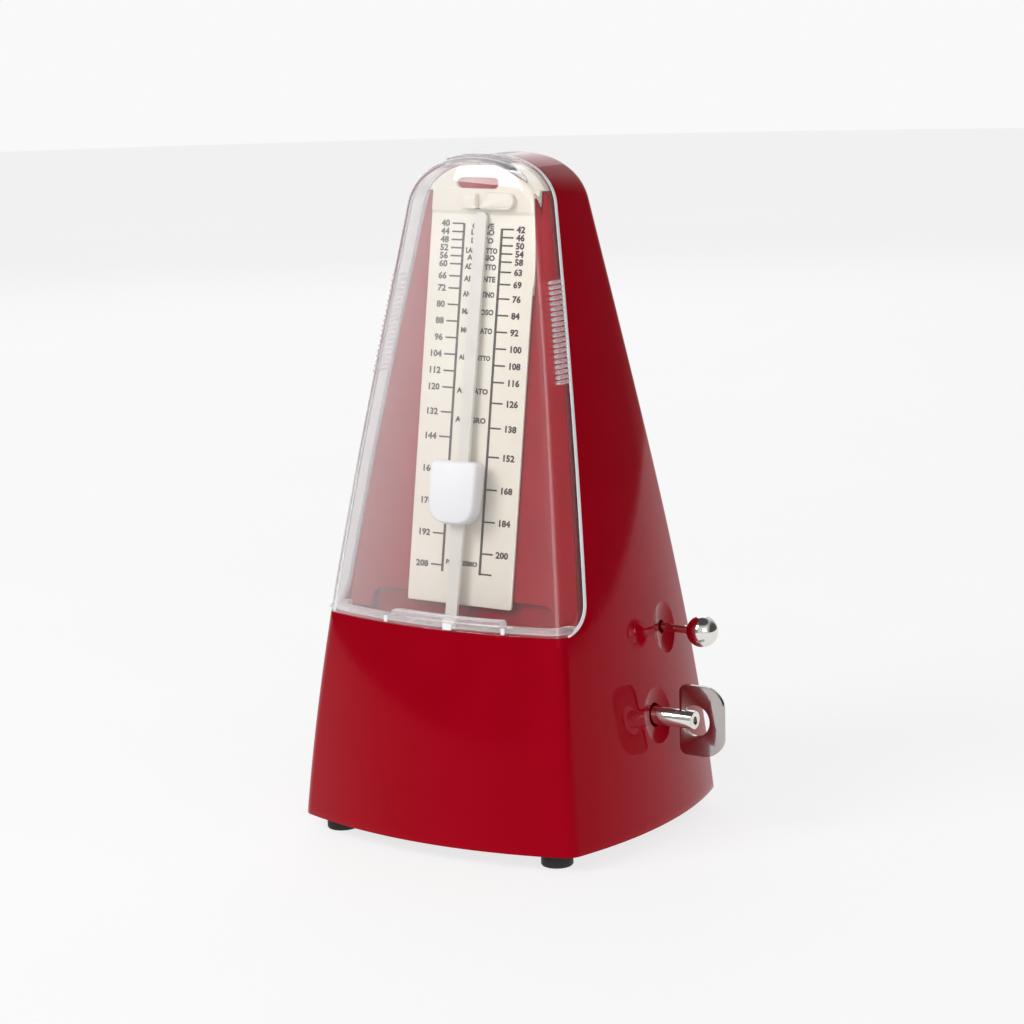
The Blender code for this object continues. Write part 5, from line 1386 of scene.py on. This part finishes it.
    def lip(self) -> None:
        """Build the lip along the cover's foot, its raised middle tab and its lugs."""
        bm = bmesh.new()
        z = self.low + 0.3
        top = z + self.lip_height
        split = FORM.split_y(self.low + FORM.foot_corner, self.behind, self.low) - self.lip_stop
        outer = FORM.outline(z, 1.0, self.wall + 0.02, split, False)
        inner = FORM.outline(z, 1.0, self.wall + self.lip_depth, split, False)
        rows = [[(x, y, level) for x, y, _ in edge]
                for edge, level in ((outer, z), (outer, top), (inner, top), (inner, z), (outer, z))]
        made = add_grid(bm, rows)
        bm.faces.new([row[0] for row in made[:4]])
        bm.faces.new([row[-1] for row in reversed(made[:4])])
        ride(make_piece("Cover_Lip", bm, CLEAR_LIP), "cover")
        front = FORM.half_depth(z)
        tab = bmesh.new()
        places = [self.tab_from + (self.tab_to - self.tab_from) * k / 20 for k in range(21)]
        edge = [(x, -(front + FORM.rise(FORM.half_width(z), x)) + self.wall + 0.1) for x in places]
        back = [(x, y + self.lip_depth + self.tab_extra) for x, y in reversed(edge)]
        low_z = top + 0.05
        high_z = low_z + self.tab_height
        add_slab(tab, [(x, y, low_z) for x, y in edge + back], [(x * 0.97, y, high_z) for x, y in edge + back])
        tab_piece = make_piece("Cover_Tab", tab, CLEAR_LIP)
        soften(tab_piece, 0.3)
        ride(settle(tab_piece), "cover")
        for name, x, width in self.lugs:
            y = -(front + FORM.rise(FORM.half_width(z), x))
            shape = [p + Vector((x, 0.0)) for p in round_box(width / 2, z - 0.1, z + 2.0, (0.3,) * 4, 3)]
            lug = bmesh.new()
            add_slab(lug, [(p.x, y - 0.06, p.y) for p in shape], [(p.x, y + 0.5, p.y) for p in shape])
            ride(make_piece(f"Cover_Lug_{name}", lug, FROSTED_LUG_AND_RIM_HIGHLIGHT), "cover")

    def build(self) -> None:
        """Build every piece of the cover."""
        self.shell()
        self.rim()
        self.grips()
        self.lip()


# ---------------------------------------------------------------- pendulum


@dataclass
class Pendulum:
    """Rod notches and the sliding weight."""

    tip_z: float = 206.3
    foot_stand: float = 4.9
    rod_width: float = 4.4
    rod_thickness: float = 1.2
    plate_gap: float = 1.7
    notch_pitch: float = 1.55
    notch_from: float = 92.0
    notch_stop: float = 4.0
    weight_width: float = 18.4
    weight_height: float = 20.6
    weight_front: float = 6.0
    weight_top_z: float = 126.2
    weight_taper: float = 0.05
    top_corner: float = 1.8
    foot_corner: float = 6.2

    def rod_y(self, z: float) -> float:
        """Middle of the rod at height z.

        Args:
            z: Height.

        Returns:
            Place of the rod's middle along the depth.
        """
        tip = FORM.panel_y(self.tip_z) - (self.plate_gap + self.rod_thickness / 2)
        foot = FORM.panel_y(FORM.apron_top_z) - self.foot_stand
        return foot + (tip - foot) * (z - FORM.apron_top_z) / (self.tip_z - FORM.apron_top_z)

    def slope(self) -> float:
        """How far the rod leans back for each millimetre of height."""
        return self.rod_y(1.0) - self.rod_y(0.0)

    def notches(self) -> bpy.types.Object:
        """Build the fine teeth along the rod's right edge.

        Returns:
            The finished piece.
        """
        places = []
        facing = (0.0, -1.0, -self.slope())
        count = int((self.tip_z - self.notch_stop - self.notch_from) / self.notch_pitch)
        for i in range(count):
            z = self.notch_from + self.notch_pitch * i
            places.append(((self.rod_width / 2 + 0.02, self.rod_y(z), z), facing))
        bars = BarTree("Rod_Teeth", Pivot.ACROSS, False)
        teeth = bars.grow("Rod_Notches", places, (0.36, 0.7, self.rod_thickness * 0.9), PALE_METAL)
        return ride(teeth, "pendulum")

    def weight(self) -> bpy.types.Object:
        """Build the shield-shaped sliding weight round the rod.

        Returns:
            The finished piece.
        """
        bm = bmesh.new()
        half, height = self.weight_width / 2, self.weight_height
        tilt = math.atan(self.slope())
        face = -self.weight_front
        layers = ((face, 1.1), (face + 0.25, 0.55), (face + 0.75, 0.15), (face + 1.4, 0.0), (-1.0, 0.0),
                  (-0.72, 0.25))
        rows = []
        for depth, inset in layers:
            shape = round_box(half - inset, -height + inset, -inset, (self.foot_corner - inset * 0.5,
                              self.top_corner, self.top_corner, self.foot_corner - inset * 0.5), 10)
            row = []
            for p in shape:
                taper = 1.0 - self.weight_taper * (-p.y / height)
                row.append((p.x * taper, depth, p.y))
            rows.append(row)
        made = add_grid(bm, rows, closed=True)
        bm.faces.new(list(reversed(made[0])))
        bm.faces.new(made[-1])
        place = Matrix.Translation((0.0, self.rod_y(self.weight_top_z), self.weight_top_z))
        bm.transform(place @ Matrix.Rotation(-tilt, 4, "X"))
        return ride(make_piece("Sliding_Weight", bm, WEIGHT_WHITE, angle=55.0), "weight", "sliding_weight")

    def build(self) -> None:
        """Build the pendulum's pieces."""
        self.notches()
        self.weight()


# ---------------------------------------------------------------- key and knob


@dataclass
class Controls:
    """Plated winding key and the ball of the bell selector."""

    key_y: float = 3.8
    key_z: float = 41.0
    stem_radius: float = 3.1
    stem_reach: float = 14.0
    wing_start: float = 8.4
    wing_end: float = 24.0
    wing_height: float = 23.6
    wing_thickness: float = 1.4
    wing_corner: float = 6.5
    wing_inner_corner: float = 2.6
    wing_bow: float = 0.9
    stem_bore: float = 1.2
    hole_radius: float = 5.2
    hole_place: float = 14.4
    knob_y: float = 17.5
    knob_z: float = 67.5
    knob_radius: float = 5.3
    knob_stand: float = 14.2

    def stem(self) -> bpy.types.Object:
        """Build the key's hollow-ended stem.

        Returns:
            The finished piece.
        """
        face = FORM.side_x(self.key_y, self.key_z)
        low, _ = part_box("key_stem")
        start = low[0] / MM - FORM.shift[0] / MM - face
        r, end = self.stem_radius, self.stem_reach
        bore = self.stem_bore
        profile = [(start, 0.0), (start, r - 0.3), (start + 0.3, r), (end - 0.5, r), (end - 0.1, r - 0.15),
                   (end, r - 0.5), (end, bore + 0.3), (end - 0.2, bore), (end - 3.0, bore), (end - 3.2, 0.0)]
        bm = turned(profile, (face, self.key_y, self.key_z), segments=56)
        return ride(make_piece("Key_Stem", bm, CHROME), "winding", "key_stem")

    def wing(self) -> bpy.types.Object:
        """Build the key's wing with its round window.

        Returns:
            The finished piece.
        """
        face = FORM.side_x(self.key_y, self.key_z)
        middle = (self.wing_start + self.wing_end) / 2
        half = (self.wing_end - self.wing_start) / 2
        radii = (self.wing_corner, self.wing_corner, self.wing_inner_corner, self.wing_inner_corner)
        shape = [p + Vector((face + middle, self.key_z)) for p in round_box(
            half, -self.wing_height / 2, self.wing_height / 2, radii, 12)]
        bowed = []
        for p in shape:
            out = max(0.0, (p.x - face - middle) / half)
            bulge = out * self.wing_bow * (1 - ((p.y - self.key_z) / 12) ** 2)
            bowed.append((p.x + bulge, p.y))
        thick = self.wing_thickness / 2
        bm = bmesh.new()
        add_slab(bm, [(x, self.key_y - thick, z) for x, z in bowed], [(x, self.key_y + thick, z) for x, z in bowed])
        wing = make_piece("Key_Wing", bm, KEY_STEEL)
        hole = turned([(-6.0, self.hole_radius), (6.0, self.hole_radius)],
                      (face + self.hole_place, self.key_y, self.key_z), "Y", 72)
        carve(wing, make_piece("Hole_Tool", hole, CHROME))
        soften(wing, 0.3, 3)
        return ride(settle(wing), "winding", "key_wing")

    def knob(self) -> bpy.types.Object:
        """Build the selector's ball.

        Returns:
            The finished piece.
        """
        face = FORM.side_x(self.knob_y, self.knob_z)
        profile = ball_profile(self.knob_radius, self.knob_stand, 20.0, 180.0, 40)
        profile = [(profile[0][0] - 0.4, 0.0), (profile[0][0] - 0.4, profile[0][1])] + profile
        bm = turned(profile, (face, self.knob_y, self.knob_z), segments=72)
        return ride(make_piece("Selector_Ball", bm, CHROME), "selector", "selector_knob")

    def build(self) -> None:
        """Build the controls."""
        self.stem()
        self.wing()
        self.knob()


# ---------------------------------------------------------------- carried nodes and stage


class Movement:
    """Clockwork, bell and small parts that keep their own solids."""

    finishes: dict[str, Finish] = {
        "base_plate": BLACK_PLATE, "base_screw": STEEL, "frame_plate": BRASS, "frame_screw": STEEL, "pillar": BRASS,
        "verge_bracket": BRASS, "escape_bridge": BRASS, "mainspring": BLUED, "bell_dome": CHROME,
        "bell_post": STEEL, "bell_nut": STEEL, "detent_spring": BLUED, "winding_arbor": STEEL,
        "ratchet_wheel": STEEL, "great_wheel": BRASS, "click_screw": STEEL, "click_spring": BLUED,
        "click_pawl": STEEL, "second_arbor": STEEL, "second_wheel": BRASS, "count_drum": CAM_PLASTIC,
        "escape_wheel": BRASS, "escape_arbor": STEEL, "pendulum_rod": PALE_METAL, "verge_staff": STEEL,
        "rod_collet": BRASS, "pendulum_bob": LEAD, "bob_screw": STEEL, "weight_clip": BLUED,
        "selector_rod": CHROME, "hammer_arm": STEEL, "hammer_head": BRASS,
    }

    def build(self) -> None:
        """Dress every node that a new piece doesn't stand for."""
        for name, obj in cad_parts.items():
            finish = next((f for key, f in self.finishes.items() if name.startswith(key)), STEEL)
            material = finish.material()
            for slot in obj.material_slots:
                slot.material = material
            LOG.info("%s keeps its solid, in %s", name, finish.name)


@dataclass
class Studio:
    """Floor, lights and camera."""

    azimuth: float = 33.05
    pitch: float = 10.86
    roll: float = -1.354
    distance: float = 0.94677
    lens: float = 99.3
    aim: Point = (0.00209, 0.0, 0.10517)
    sensor: float = 36.0
    floor_radius: float = 4000.0
    floor_glow: float = 0.76
    backdrop: float = 0.95
    room: float = 0.75
    dark: float = 0.08
    wall_from: float = 0.5
    wall_to: float = 0.8
    roof_from: float = 0.35

    def camera(self) -> None:
        """Stand the camera to the right of the front, looking slightly down."""
        a, e, turn = math.radians(self.azimuth), math.radians(self.pitch), math.radians(self.roll)
        back = Vector((math.sin(a) * math.cos(e), -math.cos(a) * math.cos(e), math.sin(e)))
        right = Vector((math.cos(a), math.sin(a), 0.0))
        up = back.cross(right)
        target = right * self.aim[0] + Vector((0.0, 0.0, self.aim[2])) + Vector(FORM.shift)
        across = right * math.cos(turn) + up * math.sin(turn)
        upright = -right * math.sin(turn) + up * math.cos(turn)
        data = bpy.data.cameras.new("Camera")
        data.lens = self.lens
        data.sensor_width = self.sensor
        data.clip_end = 20.0
        camera = bpy.data.objects.new("Camera", data)
        bpy.context.scene.collection.objects.link(camera)
        camera.matrix_world = Matrix.Translation(target + back * self.distance) @ Matrix(
            (across, upright, back)).transposed().to_4x4()
        bpy.context.scene.camera = camera

    def floor(self) -> None:
        """Lay the pale floor."""
        bm = bmesh.new()
        bmesh.ops.create_circle(bm, cap_ends=True, segments=96, radius=self.floor_radius)
        floor = make_piece("Studio_Floor", bm, Finish(
            "Floor_Pale", (0.3, 0.3, 0.3), (0.28, 0.28, 0.28), 0.8, specular=0.05, mottle_scale=4.0,
            relief_scale=30.0))
        glow = floor.data.materials[0].node_tree.nodes["Principled BSDF"]
        glow.inputs["Emission Color"].default_value = (1.0, 1.0, 1.0, 1.0)
        glow.inputs["Emission Strength"].default_value = self.floor_glow
        if floor.data.polygons[0].normal.z < 0:
            floor.data.flip_normals()

    def lamp(self, name: str, place: Point, size: float, power: float, aim: Point = (0.0, 0.0, 0.1)) -> None:
        """Hang a soft square lamp.

        Args:
            name: Lamp's name.
            place: Where it hangs, in metres.
            size: Its side, in metres.
            power: Its power in watts.
            aim: Where it points.
        """
        data = bpy.data.lights.new(name, "AREA")
        data.shape = "SQUARE"
        data.size = size
        data.energy = power
        lamp = bpy.data.objects.new(name, data)
        bpy.context.scene.collection.objects.link(lamp)
        lamp.location = place
        lamp.rotation_euler = (Vector(aim) - Vector(place)).to_track_quat("-Z", "Y").to_euler()

    def sky(self, tree: bpy.types.NodeTree) -> None:
        """Make a white studio with dark walls to the left and the right of the camera.

        Args:
            tree: World's tree.
        """
        a = math.radians(self.azimuth)
        place = new_node(tree, "ShaderNodeTexCoord")
        side = new_node(tree, "ShaderNodeVectorMath", operation="DOT_PRODUCT")
        side.inputs[1].default_value = (math.cos(a), math.sin(a), 0.0)
        tree.links.new(place.outputs["Generated"], side.inputs[0])
        size = new_node(tree, "ShaderNodeMath", operation="ABSOLUTE")
        tree.links.new(side.outputs["Value"], size.inputs[0])
        axes = new_node(tree, "ShaderNodeSeparateXYZ")
        tree.links.new(place.outputs["Generated"], axes.inputs["Vector"])
        roof = remap(tree, axes.outputs["Z"], self.roof_from, 1.0, 0.0, 1.0)
        most = new_node(tree, "ShaderNodeMath", operation="MAXIMUM")
        tree.links.new(size.outputs[0], most.inputs[0])
        tree.links.new(roof, most.inputs[1])
        wall = remap(tree, most.outputs[0], self.wall_from, self.wall_to, self.room, self.dark)
        ray = new_node(tree, "ShaderNodeLightPath")
        seen = new_node(tree, "ShaderNodeMix", data_type="FLOAT")
        tree.links.new(ray.outputs["Is Camera Ray"], seen.inputs["Factor"])
        tree.links.new(wall, seen.inputs["A"])
        seen.inputs["B"].default_value = self.backdrop
        tree.links.new(seen.outputs["Result"], tree.nodes["Background"].inputs["Strength"])
        tree.nodes["Background"].inputs["Color"].default_value = (1.0, 1.0, 1.0, 1.0)

    def build(self) -> None:
        """Set up the whole stage."""
        self.camera()
        self.floor()
        self.lamp("Key_Lamp", (-0.6, -1.2, 1.1), 0.8, 10.5)
        self.lamp("Fill_Lamp", (1.2, -1.1, 0.7), 0.8, 3.0)
        self.lamp("Back_Lamp", (-0.9, 1.2, 0.9), 1.2, 3.0)
        world = bpy.data.worlds.new("Studio")
        bpy.context.scene.world = world
        world.use_nodes = True
        self.sky(world.node_tree)
        bpy.context.scene.view_settings.view_transform = "Standard"


def main() -> None:
    """Build the metronome and its stage."""
    logging.basicConfig(level=logging.INFO, format="%(message)s")
    for assembly in (Studio(), Movement(), Case(), Scale(), Cover(), Pendulum(), Controls()):
        LOG.info("building %s", type(assembly).__name__)
        assembly.build()


if __name__ == "__main__":
    main()
